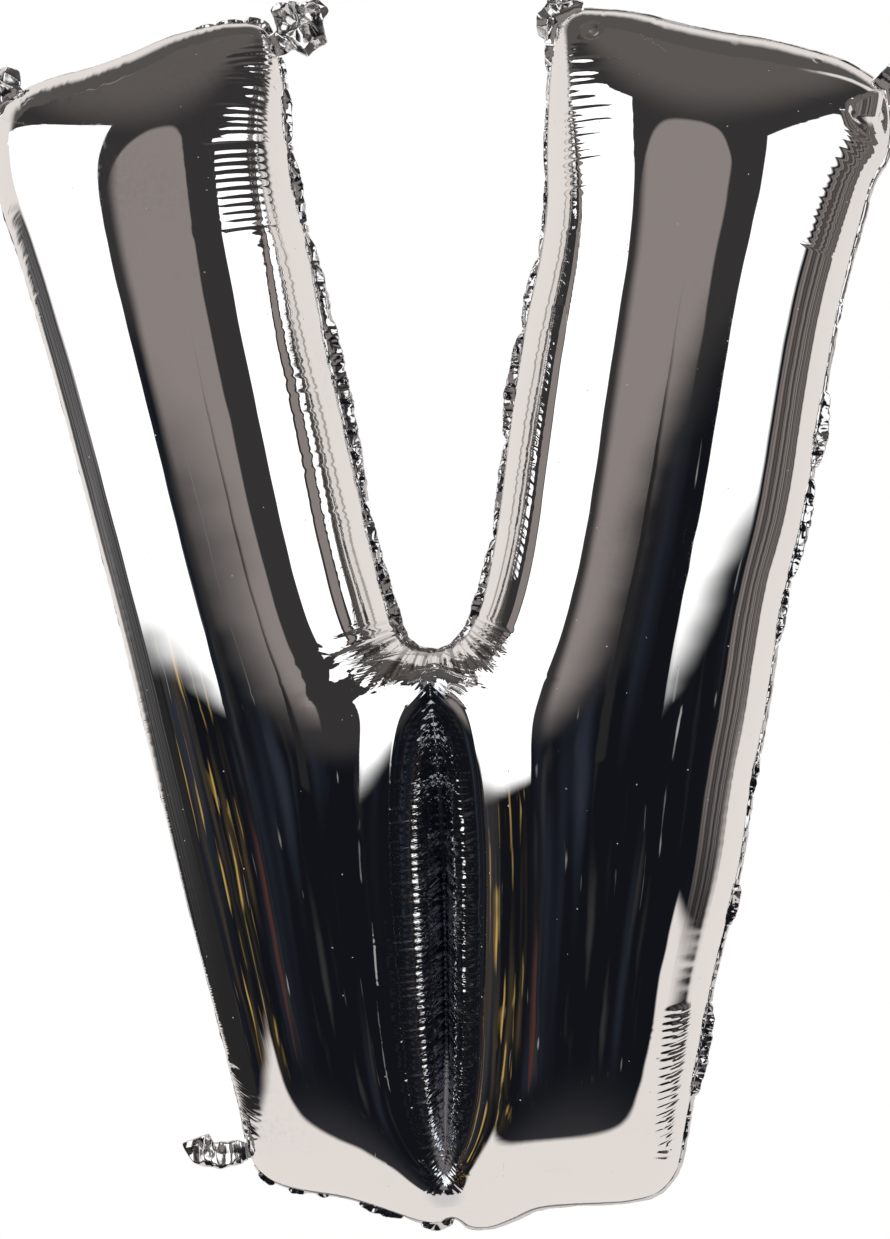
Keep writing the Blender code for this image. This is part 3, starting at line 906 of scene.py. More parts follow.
# Puckers of both films: runs, lowest and highest place, pitch, height and reach, then what is named.
PUCKERS = (
    Puckers((LEFT_IN,), 0.331, 0.400, 0.0046, 0.00066, 0.036, uneven=0.35, seed=3),
    Puckers((LEFT_IN,), 0.272, 0.330, 0.0055, 0.00034, 0.060, uneven=0.10, seed=5),
    Puckers((LEFT_IN,), 0.060, 0.271, 0.0056, 0.00028, 0.022, uneven=0.45, seed=7),
    Puckers((RIGHT_IN,), 0.350, 0.396, 0.0048, 0.00052, 0.032, uneven=0.30, seed=9),
    Puckers((RIGHT_IN,), 0.286, 0.350, 0.0052, 0.00046, 0.052, uneven=0.40, seed=11),
    Puckers((RIGHT_IN,), 0.060, 0.285, 0.0058, 0.00022, 0.020, uneven=0.45, seed=13),
    Puckers((LEFT_IN, RIGHT_IN), -0.03, -0.007, 0.0034, 0.00055, 0.046, rise=0.002, uneven=0.5, seed=15),
    Puckers((LEFT_IN, RIGHT_IN), -0.03, -0.012, 0.0090, 0.00140, 0.040, rise=0.003, uneven=0.6, seed=43),
    Puckers((RIGHT_OUT,), 0.242, 0.316, 0.0046, 0.00028, 0.048, uneven=0.30, seed=17),
    Puckers((RIGHT_OUT,), -0.376, -0.268, 0.0054, 0.00190, 0.023, rise=0.012, uneven=0.12, seed=19),
    Puckers((RIGHT_OUT,), -0.260, 0.240, 0.0080, 0.00006, 0.020, uneven=0.30, seed=21),
    Puckers((LEFT_OUT,), 0.215, 0.290, 0.0034, 0.00022, 0.014, uneven=0.35, seed=23),
    Puckers((LEFT_OUT,), -0.366, -0.310, 0.0050, 0.00060, 0.015, rise=0.002, uneven=0.30, seed=25),
    Puckers((LEFT_OUT,), -0.300, 0.205, 0.0080, 0.00005, 0.015, uneven=0.30, seed=27),
    Puckers((Run.TOP_LEFT,), -0.300, -0.222, 0.0050, 0.00050, 0.028, uneven=0.30, seed=29),
    Puckers((Run.TOP_LEFT,), -0.196, -0.150, 0.0055, 0.00045, 0.022, uneven=0.40, seed=31),
    Puckers((Run.TOP_RIGHT,), 0.095, 0.290, 0.0060, 0.00012, 0.012, uneven=0.40, seed=33),
    Puckers((Run.FOOT_LEFT, Run.FOOT_RIGHT), -0.125, 0.150, 0.0075, 0.00014, 0.012, uneven=0.35, seed=35),
    Puckers(WELD[:1], -0.405, -0.045, 0.0046, 0.00055, 0.031, rise=0.016, uneven=0.25, leaf=True, seed=37),
    Puckers(WELD[1:], -0.405, -0.045, 0.0049, 0.00036, 0.025, rise=0.012, uneven=0.25, leaf=True, seed=39),
    Puckers(WELD, -0.410, -0.055, 0.0030, 0.00004, 0.007, rise=0.001, uneven=0.50, leaf=True, seed=41),
)

# Long creases of both films, as run, place, depth, half width and reach, and the one small dent.
PINCHES = (
    Pinch(LEFT_IN, 0.3735, 0.0006, 0.0010, 0.030),
    Pinch(LEFT_IN, 0.3300, 0.0010, 0.0014, 0.075),
    Pinch(LEFT_IN, 0.2735, 0.0009, 0.0014, 0.070),
    Pinch(LEFT_IN, -0.0085, 0.0016, 0.0016, 0.062),
    Pinch(LEFT_IN, -0.0165, 0.0018, 0.0013, 0.066),
    Pinch(RIGHT_IN, 0.0020, 0.0010, 0.0014, 0.040),
    Pinch(RIGHT_OUT, 0.2415, 0.0008, 0.0012, 0.045),
    Pinch(Run.TOP_RIGHT, 0.113, 0.0007, 0.0012, 0.016),
    Pinch(Run.TOP_RIGHT, 0.151, 0.0009, 0.0014, 0.024),
    Pinch(Run.TOP_RIGHT, 0.158, 0.0006, 0.0012, 0.018),
    Pinch(Run.TOP_RIGHT, 0.206, 0.0010, 0.0014, 0.030),
    Pinch(Run.TOP_RIGHT, 0.262, 0.0008, 0.0012, 0.018),
    Pinch(RIGHT_OUT, 0.3420, 0.0050, 0.0200, 0.031),
    Pinch(RIGHT_OUT, 0.3180, 0.0012, 0.0016, 0.034),
    Dimple((0.1060, 0.4020), 0.0024, 0.0085),
)


def grid_faces(rows: int, cols: int, first: int = 0, closed: bool = False) -> np.ndarray:
    """Faces of a grid of points that are numbered row by row.

    Args:
        rows: of the grid.
        cols: its columns.
        first: number of its first point.
        closed: whether the columns close round.

    Returns:
        Rows of four indices.
    """
    number = first + np.arange(rows * cols).reshape(rows, cols)
    if closed:
        number = np.column_stack([number, number[:, 0]])
    return np.stack(
        [number[:-1, :-1], number[:-1, 1:], number[1:, 1:], number[1:, :-1]], axis=-1
    ).reshape(-1, 4)


def foil_sheet(
    name: str, grid: np.ndarray, thickness: float, material: bpy.types.Material, closed: bool = False
) -> bpy.types.Object:
    """A thin closed piece of foil round a grid of points: both faces and the edges between them.

    Each face is the grid moved by half the thickness along the grid's normals.

    Args:
        name: name of the piece.
        grid: points as rows x columns x 3.
        thickness: of the foil.
        material: its material.
        closed: whether the columns close round, as about a hole.

    Returns:
        The object.
    """
    rows, cols = grid.shape[:2]
    down = np.gradient(grid, axis=0)
    if closed:
        across = (np.roll(grid, -1, axis=1) - np.roll(grid, 1, axis=1)) / 2
    else:
        across = np.gradient(grid, axis=1)
    normal = np.cross(down, across)
    normal /= np.linalg.norm(normal, axis=-1, keepdims=True) + 1e-20
    one, two = grid + normal * thickness / 2, grid - normal * thickness / 2
    count = rows * cols
    number = np.arange(count).reshape(rows, cols)
    edges = [number[0], number[-1, ::-1]]
    if closed:
        edges = [np.append(edge, edge[0]) for edge in edges]
    else:
        edges += [number[::-1, 0], number[:, -1]]
    strips = [np.stack([e[:-1], e[1:], e[1:] + count, e[:-1] + count], axis=1) for e in edges]
    faces = [grid_faces(rows, cols, 0, closed)[:, ::-1], grid_faces(rows, cols, count, closed), *strips]
    obj, _ = put_mesh(name, np.vstack([one.reshape(-1, 3), two.reshape(-1, 3)]), faces, material)
    return obj


def folded(
    seed: int, across: np.ndarray, along: np.ndarray, sizes: tuple[float, ...], steep: float
) -> np.ndarray:
    """Crumple of a foil: triangle waves of these lengths, each in a random direction, summed.

    Each wave is bent a little, so its folds run together. The first has slopes of `steep`, and each
    shorter one is less steep than the one before.

    Args:
        seed: of the random directions.
        across: first coordinate of each point.
        along: second coordinate of each point.
        sizes: lengths of the waves, the longest first.
        steep: slope of the first wave's flanks.

    Returns:
        The height at each point.
    """
    rng = np.random.default_rng(seed)
    total = np.zeros(np.broadcast(across, along).shape)
    for size in sizes:
        angle, start = rng.random(2) * 2 * math.pi
        wave = (across * math.cos(angle) + along * math.sin(angle)) / size + start
        bend = 0.3 * np.sin((across * math.sin(angle) - along * math.cos(angle)) / size * 2.1 + start)
        total += steep * size / 4 * triangle(wave + bend)
        steep *= 0.72
    return total


@dataclass(frozen=True)
class Shown:
    """A stretch of flange that stands out past the film instead of curling back behind it."""

    low: float  # as Puckers.low
    high: float
    width: float = 0.008


# Where the flange shows past the film in front, as places along its run.
LEFT_IN_SHOWN = (
    Shown(0.3752, 0.3935, 0.0035), Shown(0.3312, 0.3718, 0.0055), Shown(0.2744, 0.3275, 0.0060),
    Shown(0.0600, 0.2700, 0.0085), Shown(-0.0300, 0.0800, 0.0062),
)
RIGHT_IN_SHOWN = (
    Shown(0.3790, 0.4170, 0.0060), Shown(0.3050, 0.3600, 0.0028), Shown(0.2500, 0.3050, 0.0032),
    Shown(0.2000, 0.2490, 0.0060), Shown(0.1230, 0.1980, 0.0080), Shown(0.0530, 0.1220, 0.0050),
    Shown(0.0020, 0.0540, 0.0065),
)
CROTCH_SHOWN = (Shown(-0.0260, 0.0350, 0.0065),)
RIGHT_OUT_SHOWN = (
    Shown(0.2000, 0.2200, 0.0030), Shown(0.1020, 0.1560, 0.0080), Shown(0.0250, 0.0960, 0.0065),
    Shown(-0.0200, 0.0200, 0.0050), Shown(-0.1250, -0.0950, 0.0040), Shown(-0.2150, -0.1850, 0.0065),
    Shown(-0.3340, -0.2680, 0.0075),
)
TOP_LEFT_SHOWN = (
    Shown(-0.1780, -0.1620, 0.0035), Shown(-0.1620, -0.1420, 0.0040), Shown(-0.1420, -0.1220, 0.0050),
)
FOOT_SHOWN = (
    Shown(-0.1302, -0.1183, 0.0050), Shown(-0.1099, -0.0973, 0.0045), Shown(-0.0903, -0.0812, 0.0040),
    Shown(-0.0602, -0.0273, 0.0060), Shown(-0.0161, 0.0077, 0.0060),
)


@dataclass
class Flange:
    """One stretch of the crinkled seal, from end to end of its CAD node.

    Each pair of numbers in wander, ragged and crinkles is a size and the length that it changes over.
    """

    letter: Letter
    node: str
    runs: tuple[Run, ...]
    shown: tuple[Shown, ...] = ()
    back: float = 96.0  # degrees that the flange curls back where it isn't shown
    stand: float = 4.0  # and where it is
    width: float = 0.007
    underlap: float = 0.002
    thickness: float = 0.0005
    spacing: float = 0.0007
    across: int = 12
    smoothing: int = 9  # samples that its direction is averaged over
    narrow: float = 0.30  # share of the width at both ends of a shown stretch
    root_turn: float = 0.35  # share of the curl that it has near its root, from where it grows evenly
    calm: float = 0.3  # share of the wander left where it isn't shown
    flat: float = 0.25  # and of the crinkles
    wander: tuple[Pair, ...] = ((16.0, 0.017), (12.0, 0.006))  # of the curl, in degrees
    ragged: tuple[Pair, ...] = ((0.10, 0.005), (0.04, 0.0017))  # of the width, as shares
    crinkles: tuple[Pair, ...] = ((0.00060, 0.0130), (0.00035, 0.0060), (0.00018, 0.0027))
    seed: int = 1

    def path(self) -> tuple[np.ndarray, np.ndarray, np.ndarray]:
        """Finds the seal's line between the CAD node's ends.

        Returns:
            Its samples, the outward direction at each, and its place along the runs.
        """
        curve = np.vstack([self.letter.runs[run] for run in self.runs])
        keep = np.concatenate([[True], np.linalg.norm(np.diff(curve, axis=0), axis=1) > 1e-7])
        curve = curve[keep]
        points, _ = node_vertices(self.node)
        index, _ = nearest_on(curve, points[:, [0, 2]])
        steps = np.arange(len(curve))
        length = lengths(curve)
        low, high = np.interp([index.min(), index.max()], steps, length)
        at = np.linspace(low, high, max(8, round((high - low) / self.spacing)))
        line = at_places(curve, at)
        tangent = averaged(np.gradient(line, axis=0), self.smoothing, "edge")
        tangent /= np.linalg.norm(tangent, axis=1)[:, None]
        return line, np.stack([tangent[:, 1], -tangent[:, 0]], axis=1), at

    def outline(self, line: np.ndarray) -> tuple[np.ndarray, np.ndarray]:
        """Works out where the flange is shown.

        Args:
            line: samples of the seal's line.

        Returns:
            The flange's width at each, and how far it is shown, from 0 to 1.
        """
        place = line[:, 0] if self.runs[0] in LEVEL else line[:, 1]
        open_share = np.zeros(len(line))
        width = np.full(len(line), self.width)
        for part in self.shown:
            t = np.clip((place - part.low) / (part.high - part.low), 0.0, 1.0)
            bump = np.sqrt(np.maximum(np.sin(math.pi * t), 0.0)) * ((t > 0) & (t < 1))
            shown = part.width * (self.narrow + (1 - self.narrow) * bump)
            width = np.where(bump > 0.01, shown, width)
            open_share = np.maximum(open_share, smoothstep(0.0, 0.45, bump))
        return width, open_share

    def grid(self) -> np.ndarray:
        """Works out the ribbon's middle surface.

        From the seal it runs out in the letter's plane and curls back by an angle that grows along its
        width; the angle is small where the flange is shown. Crinkles across it, triangle waves of
        random length, grow with the distance from the seal.

        Returns:
            Points as samples x columns x 3.
        """
        line, out, at = self.path()
        width, open_share = self.outline(line)
        wander, ragged = (
            sum(size * drift(first + k, at, length) for k, (size, length) in enumerate(kinds))
            for first, kinds in ((self.seed, self.wander), (self.seed + 2, self.ragged))
        )
        wander = wander * (self.calm + (1 - self.calm) * open_share)
        angle = self.back + (self.stand - self.back) * open_share + wander
        width = width * (1 + ragged)
        share = np.linspace(0.0, 1.0, self.across)
        growing = (self.root_turn + (1 - self.root_turn) * share[None]) * smoothstep(0.0, 0.15, share)
        turn = np.radians(angle)[:, None] * growing
        step = width[:, None] / (self.across - 1)
        outward = np.cumsum(np.cos(turn) * step, axis=1) - step
        backward = np.cumsum(np.sin(turn) * step, axis=1)
        crinkle = 0.0
        for k, (height, pitch) in enumerate(self.crinkles):
            phase = at / pitch + 0.6 * drift(self.seed + 4 + k, at, 3 * pitch)
            tilt = share[None] * (0.8 * drift(self.seed + 8 + k, at, 2 * pitch))[:, None]
            crinkle = crinkle + height * triangle(phase[:, None] + tilt)
        crinkle = crinkle * (share ** 0.8)[None] * (self.flat + (1 - self.flat) * open_share)[:, None]
        outward = outward + 0.5 * crinkle * np.sin(turn)
        backward = backward + crinkle * np.cos(turn)
        root = line - out * self.underlap
        first = np.stack([root[:, 0], np.zeros(len(line)), root[:, 1]], axis=1)[:, None]
        free = np.stack([
            line[:, None, 0] + out[:, None, 0] * outward,
            backward,
            line[:, None, 1] + out[:, None, 1] * outward,
        ], axis=-1)
        return np.concatenate([first, free], axis=1)

    def build(self, material: bpy.types.Material) -> bpy.types.Object:
        """Makes the ribbon in place of its CAD node."""
        obj = foil_sheet(self.node.replace("seam", "crinkled_seam"), self.grid(), self.thickness, material)
        return join_model(obj, self.node)


@dataclass
class CornerEar:
    """A crumpled corner tab with its punched hanging hole."""

    letter: Letter
    node: str
    seed: int
    rings: int = 34
    sides: int = 220
    thickness: float = 0.0005
    deep_folds: tuple[float, ...] = (0.034, 0.021, 0.012)  # lengths of those out of the tab's plane
    deep_slope: float = 0.75
    side_folds: tuple[float, ...] = (0.028, 0.017)  # and of those within it
    side_slope: float = 0.35
    smoothing: int = 7  # points that its outline is averaged over
    free_from: Pair = (0.001, 0.012)  # distances from the seal over which the crumple grows

    def grid(self) -> np.ndarray:
        """Works out rings from the punched hole to the tab's outline, crumpled away from the seal.

        Each ring blends the hole's circle with the outline, at the same angle about the hole.

        Returns:
            Points as rings x sides x 3.
        """
        outline, hole = flat_loops(self.node, 0.001, -1)[:2]
        centre = hole.mean(axis=0)
        radius = np.linalg.norm(hole - centre, axis=1).mean()
        closed = np.vstack([outline, outline[:1]])
        shares = np.linspace(0.0, 1.0, self.sides, endpoint=False)
        edge = averaged(at_shares(closed, shares), self.smoothing, "wrap")
        ray = edge - centre
        ring = centre + ray / np.linalg.norm(ray, axis=1)[:, None] * radius
        share = np.linspace(0.0, 1.0, self.rings)[:, None, None]
        plan = ring * (1 - share) + edge * share
        whole = np.vstack(list(self.letter.runs.values()))
        _, away = nearest_on(whole, plan.reshape(-1, 2))
        free = smoothstep(*self.free_from, away).reshape(plan.shape[:2])
        x, z = plan[..., 0], plan[..., 1]
        push = folded(self.seed, x, z, self.deep_folds, self.deep_slope)
        shove = folded(self.seed + 1, x, z, self.side_folds, self.side_slope)
        rise = folded(self.seed + 2, x, z, self.side_folds, self.side_slope)
        return np.stack([x + shove * free, push * free, z + rise * free], axis=-1)

    def build(self, material: bpy.types.Material) -> bpy.types.Object:
        """Makes the tab in place of its CAD node."""
        name = self.node.replace("tab", "crumpled_tab")
        obj = foil_sheet(name, self.grid(), self.thickness, material, closed=True)
        return join_model(obj, self.node)


# The tabs' CAD nodes, each with the seed of its crumple.
EARS = {"tab_left_outer": 5, "tab_left_inner": 15, "tab_right_inner": 25, "tab_right_outer": 35}


@dataclass
class FillingNeck:
    """The crumpled filling neck, an open flattened sleeve that curls up at its free end."""

    path: tuple[Pair, ...] = (
        (-0.1402, -0.3768), (-0.1500, -0.3785), (-0.1610, -0.3800), (-0.1705, -0.3775), (-0.1765, -0.3690),
    )
    wide: float = 0.0086  # half width and half depth of the sleeve
    deep: float = 0.0022
    tilt: float = 0.32  # how far its upper edge leans back, as a share of the height
    gathers: tuple[float, ...] = (0.015, 0.009)  # lengths of the crumple's waves
    gather_slope: float = 0.25
    rib_pitch: float = 0.0105  # of the ribs across the neck, measured along x
    rib_rise: float = 0.030  # height over which a rib leans by one pitch
    rib_height: float = 0.0016
    free_from: float = 0.010  # distance from the seal at which it is fully crumpled
    sides: int = 96
    spacing: float = 0.0004
    thickness: float = 0.0005

    def grid(self) -> np.ndarray:
        """Works out rings along the path: flattened ovals with ribs across, crumpled away from the seal.

        Returns:
            Points as rings x sides x 3.
        """
        path = spline(np.array(self.path), self.spacing)
        tangent = np.gradient(path, axis=0)
        tangent /= np.linalg.norm(tangent, axis=1)[:, None]
        side = np.stack([-tangent[:, 1], tangent[:, 0]], axis=1)
        at = lengths(path)
        turn = np.linspace(0.0, 2 * math.pi, self.sides, endpoint=False)
        free = smoothstep(0.0, self.free_from, at)[:, None]
        wide = self.wide * (1 + 0.12 * drift(211, at, 0.006) + 0.10 * smoothstep(0.7 * at[-1], at[-1], at))
        wide = wide * (1 - 0.25 * (1 - smoothstep(0.0, 0.006, at)))
        across = wide[:, None] * np.cos(turn)[None]
        depth = self.deep * np.sign(np.sin(turn)) * np.abs(np.sin(turn)) ** 0.7
        shape = (len(at), self.sides)
        place = np.broadcast_to(at[:, None], shape)
        gather = folded(213, place, across, self.gathers, self.gather_slope)
        spot = path[:, None] + side[:, None] * across[..., None]
        x, z = spot[..., 0], spot[..., 1]
        ribs = x / self.rib_pitch + 0.5 * drift(215, at, 0.009)[:, None] + z / self.rib_rise
        lean = self.tilt * (z - path[0, 1])
        push = (gather + self.rib_height * triangle(ribs) + lean) * free
        return np.stack([x, depth[None] + push, z], axis=-1)

    def build(self, material: bpy.types.Material) -> bpy.types.Object:
        """Makes the sleeve in place of its CAD node."""
        obj = foil_sheet("crumpled_filling_neck", self.grid(), self.thickness, material, closed=True)
        return join_model(obj, "inflation_neck")


class Sums:
    """Adds texture and maths nodes to one node tree, and hands back their output sockets."""

    def __init__(self, tree: bpy.types.NodeTree) -> None:
        """Keeps the tree that the nodes go into."""
        self.tree = tree

    def feed(self, slot: Socket, value: object) -> None:
        """Sets an input: links a socket to it, or writes a plain value into it.

        Args:
            slot: the input.
            value: a socket, a number, a vector, or a colour of three numbers.
        """
        if isinstance(value, Socket):
            self.tree.links.new(value, slot)
        elif slot.type == "RGBA":
            slot.default_value = (*value, 1.0)
        else:
            slot.default_value = value

    def add(self, kind: str, values: dict[str | int, object], **settings: object) -> bpy.types.Node:
        """Adds one node.

        Args:
            kind: its type.
            values: sockets, numbers or colours for its inputs, by their names or numbers.
            **settings: its own properties.

        Returns:
            The node.
        """
        node = self.tree.nodes.new(kind)
        for name, value in settings.items():
            setattr(node, name, value)
        for slot, value in values.items():
            self.feed(node.inputs[slot], value)
        return node

    def math(self, operation: str, *values: object) -> Socket:
        """Result of one Math node on sockets or numbers."""
        return self.add("ShaderNodeMath", dict(enumerate(values)), operation=operation).outputs[0]

    def times(self, *values: object) -> Socket:
        """Product of two or more sockets or numbers."""
        return reduce(lambda first, other: self.math("MULTIPLY", first, other), values)

    def rest(self, value: object) -> Socket:
        """What is left of 1 after a share is taken away."""
        return self.math("SUBTRACT", 1.0, value)

    def step(self, value: object, start: object, end: object) -> Socket:
        """Smooth step, 3t^2 - 2t^3, from 0 at start to 1 at end; start may be the larger number.

        Args:
            value: what is tested.
            start: where the result is 0.
            end: where the result is 1.

        Returns:
            The share from 0 to 1.
        """
        falls = isinstance(start, float) and isinstance(end, float) and start > end
        limits = (end, start, 1.0, 0.0) if falls else (start, end, 0.0, 1.0)
        values = dict(zip(("Value", "From Min", "From Max", "To Min", "To Max"), (value, *limits)))
        return self.add("ShaderNodeMapRange", values, interpolation_type="SMOOTHSTEP").outputs["Result"]

    def mix(self, share: object, one: object, two: object) -> Socket:
        """Blend of two colours, with this share of the second."""
        return self.add("ShaderNodeMix", {0: share, 6: one, 7: two}, data_type="RGBA").outputs[2]

    def noise(self, place: object, scale: object, detail: object) -> Socket:
        """Soft noise over a place, from 0 to 1; detail is how many finer ones are added."""
        return self.add("ShaderNodeTexNoise", {"Vector": place, "Scale": scale, "Detail": detail}).outputs[0]

    def ridge(self, along: object, scale: float, detail: float) -> Socket:
        """Uneven ridges square to one direction: soft noise of the place along it."""
        values = {"W": along, "Scale": scale, "Detail": detail}
        return self.add("ShaderNodeTexNoise", values, noise_dimensions="1D").outputs[0]

    def cells(self, place: object, scale: object, distance: str) -> bpy.types.Node:
        """Cell pattern over a place, with the distance from the cells' middles and a colour for each."""
        return self.add("ShaderNodeTexVoronoi", {"Vector": place, "Scale": scale}, distance=distance)

    def place(self) -> Socket:
        """The point's Object coordinates, which are metres in the frame of the model."""
        return self.add("ShaderNodeTexCoord", {}).outputs["Object"]

    def parts(self, vector: Socket) -> tuple[Socket, ...]:
        """The three parts of a vector."""
        return tuple(self.add("ShaderNodeSeparateXYZ", {0: vector}).outputs)

    def mapped(self, name: str) -> tuple[Socket, ...]:
        """The parts of the piece's own map of this name."""
        return self.parts(self.add("ShaderNodeUVMap", {}, uv_map=name).outputs[0])

    def raise_by(self, height: object, shader: bpy.types.Node) -> None:
        """Bumps a shader's surface by a height in metres."""
        bump = self.add("ShaderNodeBump", {"Distance": 1.0, "Height": height})
        self.feed(shader.inputs["Normal"], bump.outputs[0])


def new_material(name: str) -> tuple[bpy.types.Material, Sums, bpy.types.Node]:
    """Starts a material with its Principled shader.

    Args:
        name: name of the material.

    Returns:
        The material, the helper for its node tree, and its shader.
    """
    material = bpy.data.materials.new(name)
    material.use_nodes = True
    tree = material.node_tree
    return material, Sums(tree), tree.nodes["Principled BSDF"]


class Effect:
    """A shader node group for an effect that several finishes share, built once when first placed.

    Each kind gives its named inputs with their first values, its named outputs, and how one is worked
    out from the other.
    """

    inputs: dict[str, object] = {}
    outputs: dict[str, str] = {}

    @classmethod
    def group(cls) -> bpy.types.NodeTree:
        """Finds the effect's node group, or builds it.

        Returns:
            The group.
        """
        name = cls.__name__
        if name in bpy.data.node_groups:
            return bpy.data.node_groups[name]
        tree = bpy.data.node_groups.new(name, "ShaderNodeTree")
        for label, value in cls.inputs.items():
            kind = "NodeSocketFloat" if isinstance(value, float) else value
            slot = tree.interface.new_socket(label, in_out="INPUT", socket_type=kind)
            if isinstance(value, float):
                slot.default_value = value
        for label, kind in cls.outputs.items():
            tree.interface.new_socket(label, in_out="OUTPUT", socket_type=kind)
        inside, outside = tree.nodes.new("NodeGroupInput"), tree.nodes.new("NodeGroupOutput")
        sums = Sums(tree)
        for label, value in cls.work_out(sums, inside.outputs).items():
            sums.feed(outside.inputs[label], value)
        return tree

    @classmethod
    def put(cls, sums: Sums, **values: object) -> bpy.types.NodeOutputs:
        """Outputs of the effect, placed in a tree with these values for its named inputs."""
        return sums.add("ShaderNodeGroup", values, node_tree=cls.group()).outputs

    @staticmethod
    def work_out(sums: Sums, given: bpy.types.NodeOutputs) -> dict[str, object]:
        """Builds the inside of the group from its inputs: a socket for each output, by its name."""
        raise NotImplementedError


class Grain(Effect):
    """Cloudy grain: a soft noise that blends a darker and a lighter shade."""

    inputs = {
        "Place": "NodeSocketVector", "Scale": 100.0, "Detail": 2.0,
        "Dark": "NodeSocketColor", "Light": "NodeSocketColor",
    }
    outputs = {"Shade": "NodeSocketColor", "Share": "NodeSocketFloat"}

    @staticmethod
    def work_out(sums: Sums, given: bpy.types.NodeOutputs) -> dict[str, object]:
        """The shade is the blend of Dark and Light by the noise, and Share is the noise itself."""
        share = sums.noise(given["Place"], given["Scale"], given["Detail"])
        return {"Shade": sums.mix(share, given["Dark"], given["Light"]), "Share": share}


class Facets(Effect):
    """Crumpled foil: small flat facets that tilt their own ways, lower in some patches."""

    inputs = {"Place": "NodeSocketVector", "Scale": 100.0, "Crease": 0.001}
    outputs = {"Height": "NodeSocketFloat"}
    patch_scale = 30.0
    patches = (0.40, 0.60)  # values of the noise from which they start, and where they are full
    least = 0.25  # share of the height in the smooth patches

    @staticmethod
    def work_out(sums: Sums, given: bpy.types.NodeOutputs) -> dict[str, object]:
        """The height is Crease times the distance in a cell pattern, times the patch's share.

        Args:
            sums: the helper for the group's tree.
            given: the group's inputs.

        Returns:
            The height.
        """
        patch = sums.step(sums.noise(given["Place"], Facets.patch_scale, 0.0), *Facets.patches)
        patch = sums.math("ADD", Facets.least, sums.times(patch, 1 - Facets.least))
        cells = sums.cells(given["Place"], given["Scale"], "MANHATTAN")
        return {"Height": sums.times(cells.outputs["Distance"], given["Crease"], patch)}


class SoftEdges(Effect):
    """Mask of a card: full in its middle, with soft edges, and a top that may fall towards the sides."""

    inputs = {"Across": 0.0, "Up": 0.0, "Left": 0.02, "Right": 0.02, "Bottom": 0.02, "Top": 0.02, "Arch": 0.0}
    outputs = {"Mask": "NodeSocketFloat"}

    @staticmethod
    def work_out(sums: Sums, given: bpy.types.NodeOutputs) -> dict[str, object]:
        """The mask is the product of a smooth step in from each edge, each over its own width.

        Args:
            sums: the helper for the group's tree.
            given: the group's inputs.

        Returns:
            The mask.
        """
        across, up = given["Across"], given["Up"]
        aside = sums.math("ABSOLUTE", sums.math("SUBTRACT", sums.times(across, 2.0), 1.0))
        drop = sums.times(sums.math("POWER", aside, 3.0), given["Arch"])
        mask = sums.times(
            sums.step(across, 0.0, given["Left"]),
            sums.step(sums.rest(across), 0.0, given["Right"]),
            sums.step(up, 0.0, given["Bottom"]),
            sums.step(sums.rest(sums.math("ADD", up, drop)), 0.0, given["Top"]),
        )
        return {"Mask": mask}


class Folds(Effect):
    """Upright folds of a screen or a curtain, which darken it in uneven stripes."""

    inputs = {"Across": 0.0, "Strength": 0.5, "Colour": "NodeSocketColor"}
    outputs = {"Shade": "NodeSocketColor"}
    scale = 14.0
    stripes = (0.60, 0.42)  # values of the noise from which it darkens, and where it is darkest

    @staticmethod
    def work_out(sums: Sums, given: bpy.types.NodeOutputs) -> dict[str, object]:
        """The colour, darkened by Strength where the noise across the card is low.

        Args:
            sums: the helper for the group's tree.
            given: the group's inputs.

        Returns:
            The colour.
        """
        dark = sums.step(sums.ridge(given["Across"], Folds.scale, 2.0), *Folds.stripes)
        black = (0.0, 0.0, 0.0)
        return {"Shade": sums.mix(sums.times(dark, given["Strength"]), given["Colour"], black)}


@dataclass(frozen=True)
class SeamSockets:
    """Where a point of the film lies against its seam, as sockets of the material's tree."""

    along: Socket
    away: Socket  # distance from the seam
    on_weld: Socket  # 1 where the nearest seam is the weld
    near_crotch: Socket  # 1 near the crotch


